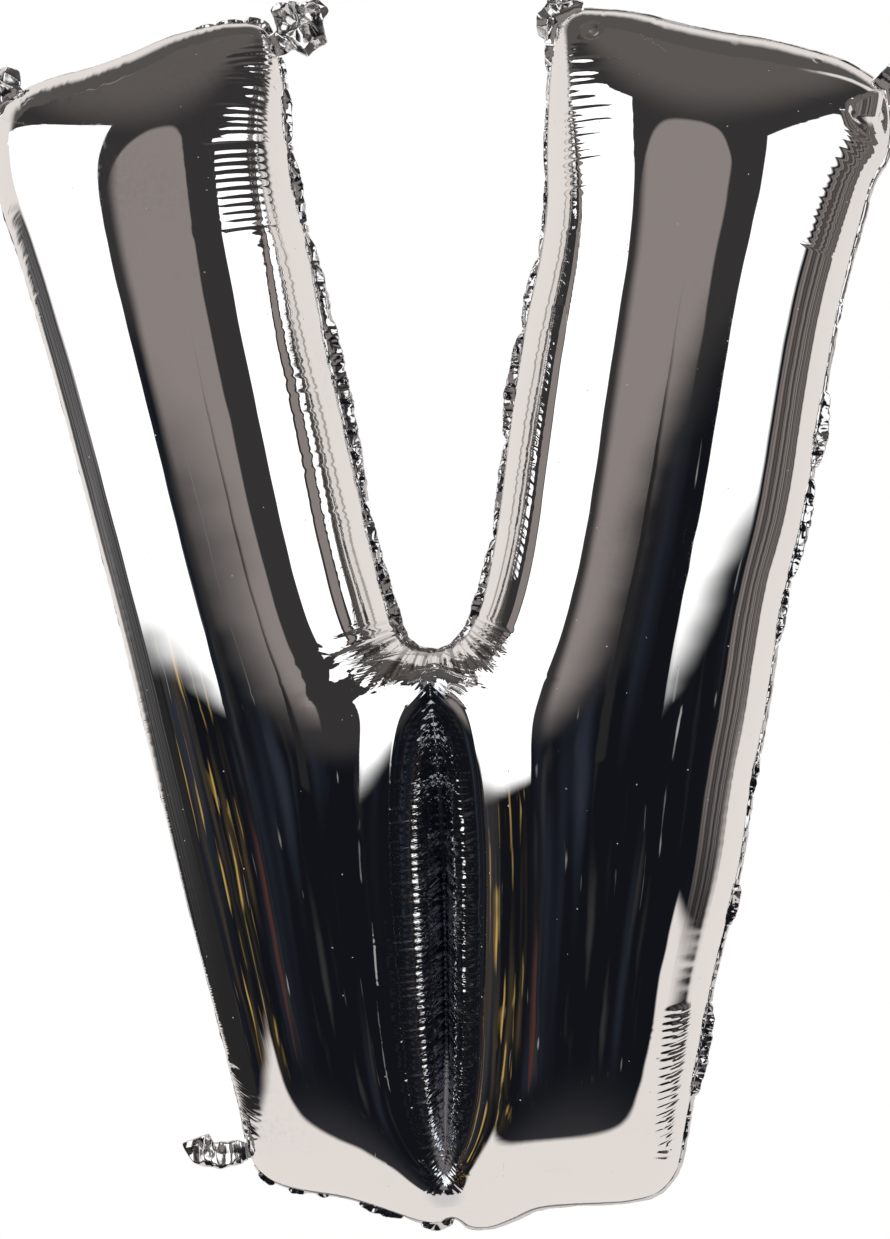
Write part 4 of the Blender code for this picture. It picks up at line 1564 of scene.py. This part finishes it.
@dataclass(frozen=True)
class MirrorFoil:
    """Finish of the inflated metallised film: a clean mirror with faint smudges, specks and crinkles, and
    painted shade in the tight folds round the crotch and in the weld's groove.

    Scales are per metre. Each pair is where something starts to show and where it is full: values of
    the noise for patches, marks, bands and clumps, and distances from the seam for the rest.
    """

    crotch_along: float  # place of the crotch along the seam
    seam_length: float  # of the whole outline; the weld's own places come after it
    name: str = "mirror_foil"
    colour: Triple = (0.93, 0.925, 0.92)
    smudge: Triple = (0.86, 0.86, 0.87)
    dust: Triple = (0.9, 0.9, 0.9)
    fold_shade: Triple = (0.20, 0.19, 0.19)  # painted shade in the tight folds round the crotch
    groove: Triple = (0.74, 0.76, 0.80)  # painted shade deep in the groove of the weld
    groove_start_shade: Triple = (0.07, 0.075, 0.09)  # and darker painted shade where it starts
    roughness: float = 0.012
    smudge_roughness: float = 0.09
    dust_roughness: float = 0.6
    smudge_scales: Pair = (9.0, 260.0)  # of the patches, and of the marks within them
    smudge_patches: Pair = (0.52, 0.75)
    smudge_marks: Pair = (0.35, 0.75)
    dust_scale: float = 150.0
    dust_size: Pair = (0.10, 0.05)  # distances from the middle of a cell
    dust_chance: Pair = (0.90, 0.91)  # values of a cell's random colour
    crotch_from: Pair = (0.048, 0.026)  # distances from the crotch along the seam
    # Distances from the weld over which its groove, with its painted shade and slanting folds, starts to
    # show.
    groove_from: Pair = (0.016, 0.006)
    # Where the darker painted shade at the groove's start shows.
    start_from: Pair = (0.014, 0.008)
    start_until: Pair = (0.090, 0.020)  # distances from the weld's top
    # Painted shade of the folds round the crotch: scale of its bands, the noise values and distances from the
    # seam where it shows, and its strength.
    fold_scale: float = 300.0
    fold_bands: Pair = (0.46, 0.62)
    fold_from: Pair = (0.040, 0.020)
    fold_free: Pair = (0.0, 0.004)
    fold_strength: float = 0.85
    crinkle_scale: float = 620.0
    crinkle_from: Pair = (0.011, 0.001)
    crinkle_height: float = 0.00022
    clump_scale: float = 31.0
    clumps: Pair = (0.35, 0.62)
    weld_loss: float = 0.75  # share of the crinkles that the weld lacks
    fan_scale: float = 430.0  # of the folds that fan out from the crotch
    fan_from: Pair = (0.044, 0.022)
    fan_height: float = 0.09  # for each metre away from the seam
    wave_scale: float = 24.0
    wave_height: float = 0.00025
    chevron_scale: float = 330.0  # of the slanting folds in the groove
    chevron_height: float = 0.0005

    def make(self) -> bpy.types.Material:
        """Builds the material.

        The film carries a map of its place along the seam and its distance from it, so that the fine
        crinkles run square to the seam and fade out away from it.

        Returns:
            The material.
        """
        material, sums, shader = new_material(self.name)
        place, seam = sums.place(), self.seam(sums)
        # Where the weld's groove lies: it takes the painted shade tint and the slanting folds.
        groove = sums.times(seam.on_weld, sums.step(seam.away, *self.groove_from))
        coarse, fine = self.smudge_scales
        patches = sums.step(sums.noise(place, coarse, 3.0), *self.smudge_patches)
        smudge = sums.times(patches, sums.step(sums.noise(place, fine, 2.0), *self.smudge_marks))
        dust = self.specks(sums, place)
        shade = sums.mix(smudge, self.colour, self.smudge)
        # Painted shade: darker bands in the tight folds round the crotch.
        shade = sums.mix(self.fold_shade_share(sums, seam), shade, self.fold_shade)
        # Painted shade: a darker tint deep in the weld's groove.
        shade = sums.mix(groove, shade, self.groove)
        # Painted shade: darker still at the groove's start, darkest at the weld's top.
        shade = sums.mix(self.start_shade_share(sums, seam), shade, self.groove_start_shade)
        sums.feed(shader.inputs["Base Color"], sums.mix(dust, shade, self.dust))
        sums.feed(shader.inputs["Metallic"], sums.rest(dust))
        rough = sums.math("ADD", self.roughness, sums.times(smudge, self.smudge_roughness))
        rough = sums.math("ADD", rough, sums.times(dust, self.dust_roughness))
        sums.feed(shader.inputs["Roughness"], rough)
        slant = sums.math("SUBTRACT", seam.along, seam.away)
        height = sums.times(self.crinkles(sums, seam), self.crinkle_height)
        for more, size in (
            (self.fan(sums, seam), self.fan_height),
            (sums.noise(place, self.wave_scale, 1.0), self.wave_height),
            (sums.times(sums.ridge(slant, self.chevron_scale, 0.5), groove), self.chevron_height),
        ):
            height = sums.math("ADD", height, sums.times(more, size))
        sums.raise_by(height, shader)
        return material

    def seam(self, sums: Sums) -> SeamSockets:
        """Reads the film's map of its seam.

        Args:
            sums: the helper for the material's tree.

        Returns:
            The point's places against the seam.
        """
        along, away, _ = sums.mapped("seam")
        on_weld = sums.step(along, self.seam_length, self.seam_length + 0.001)
        from_crotch = sums.math("ABSOLUTE", sums.math("SUBTRACT", along, self.crotch_along))
        return SeamSockets(along, away, on_weld, sums.step(from_crotch, *self.crotch_from))

    def crinkles(self, sums: Sums, seam: SeamSockets) -> Socket:
        """Fine crinkles in clumps along the seam, fainter along the weld.

        Args:
            sums: the helper for the material's tree.
            seam: the point's places against the seam.

        Returns:
            Their height from 0 to 1.
        """
        fine = sums.times(
            sums.ridge(seam.along, self.crinkle_scale, 1.0), sums.step(seam.away, *self.crinkle_from)
        )
        clumps = sums.step(sums.ridge(seam.along, self.clump_scale, 0.0), *self.clumps)
        return sums.times(fine, sums.rest(sums.times(seam.on_weld, self.weld_loss)), clumps)

    def fan(self, sums: Sums, seam: SeamSockets) -> Socket:
        """Folds that fan out from the crotch, which grow with the distance from the seam."""
        ridges = sums.ridge(seam.along, self.fan_scale, 0.5)
        return sums.times(ridges, sums.step(seam.away, *self.fan_from), seam.near_crotch, seam.away)

    def fold_shade_share(self, sums: Sums, seam: SeamSockets) -> Socket:
        """How much painted shade darkens the tight folds round the crotch: bands square to the seam, a little
        off it.

        Args:
            sums: the helper for the material's tree.
            seam: the point's places against the seam.

        Returns:
            The share of the folds' painted shade colour.
        """
        bands = sums.step(sums.ridge(seam.along, self.fold_scale, 1.0), *self.fold_bands)
        near, free = sums.step(seam.away, *self.fold_from), sums.step(seam.away, *self.fold_free)
        return sums.times(bands, seam.near_crotch, near, free, self.fold_strength)

    def start_shade_share(self, sums: Sums, seam: SeamSockets) -> Socket:
        """How dark the painted shade at the groove's start is: full at the weld's top, and gone further down.

        Args:
            sums: the helper for the material's tree.
            seam: the point's places against the seam.

        Returns:
            The share of the painted shade colour at the groove's start.
        """
        gone, full = (self.seam_length + distance for distance in self.start_until)
        first = sums.step(seam.along, gone, full)
        return sums.times(seam.on_weld, first, sums.step(seam.away, *self.start_from))

    def specks(self, sums: Sums, place: Socket) -> Socket:
        """Dust: a small dot in the middle of one in ten cells of a cell pattern.

        Args:
            sums: the helper for the material's tree.
            place: the point's coordinates.

        Returns:
            The mask of the dots.
        """
        cells = sums.cells(place, self.dust_scale, "EUCLIDEAN")
        chance = sums.add("ShaderNodeSeparateColor", {0: cells.outputs["Color"]}).outputs[0]
        dot = sums.step(cells.outputs["Distance"], *self.dust_size)
        return sums.times(dot, sums.step(chance, *self.dust_chance))


@dataclass(frozen=True)
class CrumpledFoil:
    """Finish of the foil that isn't inflated: small creased facets with a fine grain."""

    name: str
    colour: Triple
    roughness: float
    crease: float  # height of the facets
    scale: float  # facets per metre
    finer: float = 2.5  # by which the grain is finer than the facets
    shaded: float = 0.75  # shade of the grain's dark side
    grain_roughness: float = 0.08

    def make(self) -> bpy.types.Material:
        """Builds the material from the shared facets and grain.

        Returns:
            The material.
        """
        material, sums, shader = new_material(self.name)
        shader.inputs["Metallic"].default_value = 1.0
        place = sums.place()
        dark = tuple(self.shaded * part for part in self.colour)
        scale = self.scale * self.finer
        grain = Grain.put(sums, Place=place, Scale=scale, Detail=2.0, Dark=dark, Light=self.colour)
        sums.feed(shader.inputs["Base Color"], grain["Shade"])
        rough = sums.math("ADD", self.roughness, sums.times(grain["Share"], self.grain_roughness))
        sums.feed(shader.inputs["Roughness"], rough)
        facets = Facets.put(sums, Place=place, Scale=self.scale, Crease=self.crease)
        sums.raise_by(facets["Height"], shader)
        return material


@dataclass(frozen=True)
class ValvePlastic:
    """Finish of the clear valve film inside the neck: slightly cloudy, with a wavy surface."""

    name: str = "valve_plastic"
    colour: Triple = (0.72, 0.73, 0.75)
    scale: float = 180.0
    shaded: float = 0.8  # shade of the cloud's dark side
    roughness: float = 0.22
    cloud_roughness: float = 0.2
    wave: float = 0.0004

    def make(self) -> bpy.types.Material:
        """Builds the material from the shared grain.

        Returns:
            The material.
        """
        material, sums, shader = new_material(self.name)
        dark = tuple(self.shaded * part for part in self.colour)
        place = sums.place()
        cloud = Grain.put(sums, Place=place, Scale=self.scale, Detail=3.0, Dark=dark, Light=self.colour)
        sums.feed(shader.inputs["Base Color"], cloud["Shade"])
        rough = sums.math("ADD", self.roughness, sums.times(cloud["Share"], self.cloud_roughness))
        sums.feed(shader.inputs["Roughness"], rough)
        sums.raise_by(sums.times(cloud["Share"], self.wave), shader)
        return material


@dataclass(frozen=True)
class PaleFloor:
    """Finish of the floor: matt and pale with a faint grain, fading out towards the disc's rim."""

    radius: float
    name: str = "pale_floor"
    colour: Triple = (0.88, 0.87, 0.86)
    glow: float = 0.45  # keeps it pale where the letter shades it
    fade: float = 0.45  # share of the radius within which it is full
    scale: float = 14.0
    shaded: float = 0.96  # shade of the grain's dark side
    roughness: float = 0.9

    def make(self) -> bpy.types.Material:
        """Builds the material from the shared grain.

        Returns:
            The material.
        """
        material, sums, shader = new_material(self.name)
        place = sums.place()
        dark = tuple(self.shaded * part for part in self.colour)
        grain = Grain.put(sums, Place=place, Scale=self.scale, Detail=4.0, Dark=dark, Light=self.colour)
        sums.feed(shader.inputs["Base Color"], grain["Shade"])
        sums.feed(shader.inputs["Emission Color"], grain["Shade"])
        shader.inputs["Emission Strength"].default_value = self.glow
        shader.inputs["Roughness"].default_value = self.roughness
        x, y, _ = sums.parts(place)
        away = sums.math("SQRT", sums.math("ADD", sums.times(x, x), sums.times(y, y)))
        sums.feed(shader.inputs["Alpha"], sums.step(away, self.radius, self.fade * self.radius))
        return material


def add_to_stage(name: str, mesh: bpy.types.Mesh) -> bpy.types.Object:
    """Adds a mesh to the scene as an object that isn't part of the balloon.

    Args:
        name: name of the object.
        mesh: its mesh.

    Returns:
        The object.
    """
    obj = bpy.data.objects.new(name, mesh)
    bpy.context.scene.collection.objects.link(obj)
    return obj


@dataclass(frozen=True)
class Card:
    """A studio card that shows in the mirror film: four corners, a glow and soft edges.

    Corners are (x, towards the camera, z) in the camera's own upright frame, in order round the card
    from its lower left. Each of soft is the share of the card that an edge fades over: left, right,
    bottom and top.
    """

    name: str
    corners: tuple[Triple, ...]
    colour: Triple
    soft: tuple[float, float, float, float]
    stripes: float = 0.0  # how strongly upright folds darken it
    arch: float = 0.0  # share of the height that its top falls by towards the sides

    def finish(self) -> bpy.types.Material:
        """Builds its material, black but for its glow, which the shared edges and folds shape.

        Returns:
            The material.
        """
        material, sums, shader = new_material(self.name)
        across, up, _ = sums.mapped("card")
        for slot, value in (("Specular IOR Level", 0.0), ("Roughness", 1.0), ("Emission Strength", 1.0)):
            shader.inputs[slot].default_value = value
        sums.feed(shader.inputs["Base Color"], (0.0, 0.0, 0.0))
        glow = self.colour
        if self.stripes:
            glow = Folds.put(sums, Across=across, Strength=self.stripes, Colour=self.colour)["Shade"]
        sums.feed(shader.inputs["Emission Color"], glow)
        left, right, bottom, top = self.soft
        edges = SoftEdges.put(
            sums, Across=across, Up=up, Left=left, Right=right, Bottom=bottom, Top=top, Arch=self.arch
        )
        sums.feed(shader.inputs["Alpha"], edges["Mask"])
        return material

    def make(self, studio: "Studio") -> bpy.types.Object:
        """Builds the card as one glowing face that only reflections see.

        Args:
            studio: gives the camera's frame.

        Returns:
            The card.
        """
        mesh = bpy.data.meshes.new(self.name)
        mesh.from_pydata([studio.place(*corner) for corner in self.corners], [], [(0, 1, 2, 3)])
        layer = mesh.uv_layers.new(name="card")
        layer.data.foreach_set("uv", np.array([0, 0, 1, 0, 1, 1, 0, 1], np.float32))
        mesh.materials.append(self.finish())
        obj = add_to_stage(self.name, mesh)
        obj.visible_camera = obj.visible_shadow = False
        return obj


@dataclass(frozen=True)
class Streaks:
    """One kind of faint upright streaks in the dark floor, the bright parts of a stretched noise."""

    across: float  # streaks per radian
    upright: float  # and per unit of the ray's height
    seed: float
    low: float  # noise value from which they start to show
    high: float  # and where they are full
    colour: Triple
    left: float  # azimuths between which they lie, in radians
    right: float
    fade: float = 0.1  # radians over which they start and end there


@dataclass(frozen=True)
class Surroundings:
    """What the foil mirrors, painted by the ray's direction, and the plain background behind the letter.

    The back half is a pale backdrop, the front half a dark room whose ceiling is lighter, and below the
    letter lies a pale square table with a dark floor beyond it. Each pair is where something starts to
    show and where it is full, in the ray's height unless it says otherwise.
    """

    background: Triple = (1.0, 1.0, 1.0)
    backdrop: Triple = (0.80, 0.75, 0.72)
    room: Triple = (0.036, 0.034, 0.035)
    ceiling: Triple = (0.115, 0.102, 0.095)
    dark_floor: Triple = (0.006, 0.007, 0.010)
    near_floor: Triple = (0.030, 0.030, 0.034)
    low_left: Triple = (0.022, 0.021, 0.022)
    ceiling_from: Pair = (0.66, 0.93)
    floor_from: Pair = (0.07, -0.05)
    near_floor_from: Pair = (-0.45, -0.78)
    table_near: Pair = (0.86, 0.76)  # its edges, for each unit below the letter
    table_left: Pair = (2.05, 1.75)
    table_right: Pair = (2.85, 2.55)
    behind_from: Pair = (-0.30, -0.40)  # cosine of the azimuth
    behind_below: Pair = (0.92, 0.84)
    low_from: Pair = (-0.10, -0.16)
    low_facing: Pair = (-0.18, -0.28)  # cosine of the azimuth
    low_across: Pair = (-0.12, -0.30)  # the ray's own x
    least: float = 1e-4  # kept in the ray's slopes, which divide
    slant: float = 0.2  # by which the streaks lean
    streaks_above: Pair = (-0.55, -0.38)
    streaks: tuple[Streaks, ...] = (
        Streaks(3.5, 2.0, 1.3, 0.45, 0.80, (0.024, 0.030, 0.044), -3.2, 3.2),
        Streaks(6.0, 4.0, 2.1, 0.58, 0.80, (0.038, 0.037, 0.038), -2.4, 2.4),
        Streaks(12.0, 12.0, 4.7, 0.71, 0.80, (0.36, 0.36, 0.36), -2.2, 2.2),
        Streaks(7.0, 7.0, 8.3, 0.50, 0.80, (0.060, 0.044, 0.024), -1.95, -0.85),
        Streaks(15.0, 14.0, 7.9, 0.59, 0.76, (0.50, 0.33, 0.09), -1.95, -0.85),
        Streaks(7.0, 2.0, 9.2, 0.66, 0.72, (0.075, 0.030, 0.027), -0.8, 0.8),
    )

    def make(self, azimuth: float) -> None:
        """Paints the surroundings.

        Args:
            azimuth: the camera's, in degrees.
        """
        world = bpy.data.worlds.new("studio")
        bpy.context.scene.world = world
        world.use_nodes = True
        tree = world.node_tree
        sums = Sums(tree)
        ray = sums.add("ShaderNodeTexCoord", {}).outputs["Generated"]
        turn = {"Vector": ray, "Rotation": (0.0, 0.0, -math.radians(azimuth))}
        ray = sums.add("ShaderNodeMapping", turn, vector_type="POINT").outputs["Vector"]
        across, away, up = sums.parts(ray)
        near = sums.times(away, -1.0)
        flat = sums.math("SQRT", sums.math("ADD", sums.times(across, across), sums.times(near, near)))
        facing = sums.math("DIVIDE", near, sums.math("MAXIMUM", flat, self.least))
        down = sums.math("MAXIMUM", sums.times(up, -1.0), self.least)
        left = sums.math("DIVIDE", sums.times(across, -1.0), down)
        colour = sums.mix(sums.step(up, *self.ceiling_from), self.room, self.ceiling)
        floor = sums.mix(sums.step(up, *self.near_floor_from), self.dark_floor, self.near_floor)
        floor = self.add_streaks(sums, floor, sums.math("ARCTAN2", across, near), up)
        colour = sums.mix(sums.step(up, *self.floor_from), colour, floor)
        table = sums.times(
            sums.step(sums.math("DIVIDE", near, down), *self.table_near),
            sums.step(left, *self.table_left),
            sums.step(sums.math("DIVIDE", across, down), *self.table_right),
        )
        colour = sums.mix(table, colour, self.backdrop)
        behind = sums.times(sums.step(facing, *self.behind_from), sums.step(up, *self.behind_below))
        colour = sums.mix(behind, colour, self.backdrop)
        low = sums.times(
            sums.step(up, *self.low_from),
            sums.step(left, *self.table_left[::-1]),
            sums.step(facing, *self.low_facing),
            sums.step(across, *self.low_across),
        )
        colour = sums.mix(low, colour, self.low_left)
        direct = sums.add("ShaderNodeLightPath", {}).outputs["Is Camera Ray"]
        colour = sums.mix(direct, colour, self.background)
        sums.feed(tree.nodes["Background"].inputs["Color"], colour)

    def add_streaks(self, sums: Sums, colour: object, azimuth: object, up: object) -> Socket:
        """Adds the streaks to the dark floor: each kind by its own noise over azimuth and height.

        Args:
            sums: the helper for the world's tree.
            colour: of the floor.
            azimuth: of the ray, in radians.
            up: height of the ray.

        Returns:
            The floor's colour with its streaks.
        """
        for kind in self.streaks:
            across = sums.times(sums.math("ADD", azimuth, sums.times(up, self.slant)), kind.across)
            where = {0: across, 1: sums.times(up, kind.upright), 2: kind.seed}
            spot = sums.add("ShaderNodeCombineXYZ", where)
            share = sums.times(
                sums.step(sums.noise(spot.outputs[0], 1.0, 1.0), kind.low, kind.high),
                sums.step(azimuth, kind.left, kind.left + kind.fade),
                sums.step(azimuth, kind.right, kind.right - kind.fade),
                sums.step(up, *self.streaks_above),
            )
            colour = sums.mix(share, colour, kind.colour)
        return colour


@dataclass
class Studio:
    """Camera, surroundings, floor and cards. Angles are in degrees."""

    azimuth: float = 6.0
    distance: float = 2.3
    target: Triple = (0.0007, 0.0, -0.0025)
    pixels_per_metre: float = 1428.6  # of the photograph, in the plane of the flange
    floor_height: float = -0.72
    floor_radius: float = 1.5
    floor_sides: int = 96
    bounces: int = 16
    surroundings: Surroundings = field(default_factory=Surroundings)
    cards: tuple[Card, ...] = (
        Card(
            name="left_softbox",
            corners=((-1.95, -0.70, -0.43), (-2.02, 2.0, -0.42), (-2.02, 2.0, 3.2), (-1.95, -0.70, 1.0)),
            colour=(1.4, 1.4, 1.4), soft=(0.03, 0.02, 0.03, 0.03),
        ),
        Card(
            name="right_softbox",
            corners=((0.77, 0.99, -0.25), (1.06, 0.20, -0.13), (1.06, 0.20, 0.75), (0.77, 0.99, 1.0)),
            colour=(1.4, 1.4, 1.4), soft=(0.02, 0.08, 0.15, 0.02),
        ),
        Card(
            name="grey_wall",
            corners=((-1.50, 1.70, -0.22), (0.87, 2.78, 0.16), (0.87, 2.78, 2.9), (-1.50, 1.70, 2.2)),
            colour=(0.265, 0.232, 0.220), soft=(0.13, 0.04, 0.16, 0.06), arch=0.45,
        ),
        Card(
            name="left_screen",
            corners=((-1.25, -1.75, -0.9), (-1.95, -0.71, -0.9), (-1.95, -0.71, 0.3), (-1.25, -1.75, 0.22)),
            colour=(0.165, 0.160, 0.165), soft=(0.10, 0.04, 0.75, 0.10), stripes=0.7,
        ),
        Card(
            name="right_curtain",
            corners=((1.08, 0.19, -0.75), (1.30, -0.50, -0.75), (1.30, -0.50, 0.95), (1.08, 0.19, 0.95)),
            colour=(0.225, 0.198, 0.188), soft=(0.06, 0.10, 0.35, 0.10), stripes=0.75,
        ),
        Card(
            name="lamp_stand",
            corners=((-0.13, 2.10, -0.35), (0.17, 2.10, -0.35), (0.01, 2.10, 0.62), (-0.02, 2.10, 0.62)),
            colour=(0.020, 0.019, 0.020), soft=(0.3, 0.3, 0.02, 0.5),
        ),
        Card(
            name="rear_ceiling",
            corners=((-1.70, -0.40, 0.78), (1.20, -0.40, 0.78), (1.20, -0.40, 2.60), (-1.70, -0.40, 2.60)),
            colour=(0.095, 0.086, 0.082), soft=(0.05, 0.05, 0.16, 0.02),
        ),
        Card(
            name="rear_wall",
            corners=((-1.05, -3.40, -0.30), (1.05, -3.40, -0.30), (1.05, -3.40, 2.60), (-1.05, -3.40, 2.60)),
            colour=(0.420, 0.390, 0.370), soft=(0.25, 0.25, 0.15, 0.10),
        ),
        Card(
            name="rear_floor",
            corners=((-1.05, -3.4, -2.6), (1.05, -3.4, -2.6), (1.05, -3.4, -0.35), (-1.05, -3.4, -0.35)),
            colour=(0.200, 0.190, 0.190), soft=(0.20, 0.20, 0.10, 0.10),
        ),
    )

    def place(self, across: float, near: float, up: float) -> Triple:
        """Turns a point of the camera's upright frame into the frame of the model.

        Args:
            across: to the camera's right.
            near: towards the camera.
            up: height.

        Returns:
            The point as (x, y, z).
        """
        turn = math.radians(self.azimuth)
        x = across * math.cos(turn) + near * math.sin(turn)
        y = across * math.sin(turn) - near * math.cos(turn)
        return x, y, up

    def make_camera(self) -> None:
        """Adds the camera at the photograph's viewing angle."""
        data = bpy.data.cameras.new("camera")
        data.sensor_width = 36.0
        data.lens = self.pixels_per_metre * self.distance / max(PHOTO_SIZE) * data.sensor_width
        camera = bpy.data.objects.new("camera", data)
        camera.location = np.array(self.target) + np.array(self.place(0.0, self.distance, 0.0))
        camera.rotation_euler = (math.radians(90.0), 0.0, math.radians(self.azimuth))
        bpy.context.scene.collection.objects.link(camera)
        bpy.context.scene.camera = camera

    def make_floor(self) -> None:
        """Adds the plain pale floor below the letter: a disc that reflections don't see."""
        sides = self.floor_sides
        turn = np.linspace(0.0, 2 * math.pi, sides, endpoint=False)
        rim = self.floor_radius * np.stack([np.cos(turn), np.sin(turn)], axis=1)
        points = np.column_stack([rim, np.full(sides, self.floor_height)])
        finish = PaleFloor(self.floor_radius)
        mesh = bpy.data.meshes.new(finish.name)
        mesh.from_pydata(points.tolist(), [], [tuple(range(sides))])
        mesh.materials.append(finish.make())
        add_to_stage(finish.name, mesh).visible_glossy = False

    def build(self) -> None:
        """Makes the camera, the surroundings, the floor and the cards."""
        self.make_camera()
        self.surroundings.make(self.azimuth)
        self.make_floor()
        for card in self.cards:
            card.make(self)
        scene = bpy.context.scene
        scene.view_settings.view_transform = "Standard"
        scene.cycles.max_bounces = scene.cycles.glossy_bounces = self.bounces
        log.info("studio: %d cards", len(self.cards))


@dataclass
class Balloon:
    """The whole balloon, assembled from its films, flange, tabs, neck and valve."""

    letter: Letter

    def build(self) -> None:
        """Makes every piece, each on its own finish."""
        self.build_films()
        seal = CrumpledFoil(
            "sealed_foil", (0.84, 0.84, 0.85), roughness=0.05, crease=0.0022, scale=110.0
        ).make()
        loose = CrumpledFoil(
            "crumpled_foil", (0.94, 0.94, 0.94), roughness=0.10, crease=0.0012, scale=60.0
        ).make()
        self.build_flange(seal)
        for node, seed in EARS.items():
            CornerEar(self.letter, node, seed).build(loose)
        FillingNeck().build(loose)
        self.dress("centre_weld", seal)
        self.dress("valve_film", ValvePlastic().make())

    def build_films(self) -> None:
        """Makes the two mirror films, which replace the CAD films."""
        crotch, whole = self.letter.crotch_place(), self.letter.seam_length()
        log.info("crotch at %.4f of %.4f m of seam", crotch, whole)
        foil = MirrorFoil(crotch, whole).make()
        for side in Side:
            Film(self.letter, side, PUCKERS, PINCHES).build(foil)

    def build_flange(self, finish: bpy.types.Material) -> None:
        """Makes the flange, one stretch for each of its CAD nodes."""
        foot = (Run.FOOT_LEFT, Run.FOOT_RIGHT, RIGHT_OUT)
        for flange in (
            Flange(self.letter, "seam_inner_left", (LEFT_IN,), LEFT_IN_SHOWN, stand=36.0, seed=11),
            Flange(self.letter, "seam_inner_right", (RIGHT_IN,), RIGHT_IN_SHOWN, stand=24.0, seed=31),
            Flange(self.letter, "seam_crotch", (RIGHT_IN, LEFT_IN), CROTCH_SHOWN, stand=25.0, seed=51),
            Flange(self.letter, "seam_outer_left", (LEFT_OUT,), seed=71),
            Flange(self.letter, "seam_outer_right", (RIGHT_OUT,), RIGHT_OUT_SHOWN, stand=27.0, seed=91),
            Flange(self.letter, "seam_top_left", (Run.TOP_LEFT,), TOP_LEFT_SHOWN, seed=111),
            Flange(self.letter, "seam_top_right", (Run.TOP_RIGHT,), seed=131),
            Flange(self.letter, "seam_foot", foot, FOOT_SHOWN, seed=151),
        ):
            flange.build(finish)

    @staticmethod
    def dress(node: str, finish: bpy.types.Material) -> None:
        """Gives a CAD node that stays its finish.

        Args:
            node: name of the node.
            finish: its material.
        """
        mesh = frame["nodes"][node].data
        mesh.materials.clear()
        mesh.materials.append(finish)
        log.info("%s: keeps its CAD shape", node)


def main() -> None:
    """Builds the balloon piece by piece, then the studio round it."""
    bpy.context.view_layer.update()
    Balloon(Letter()).build()
    Studio().build()


if __name__ == "__main__":
    main()
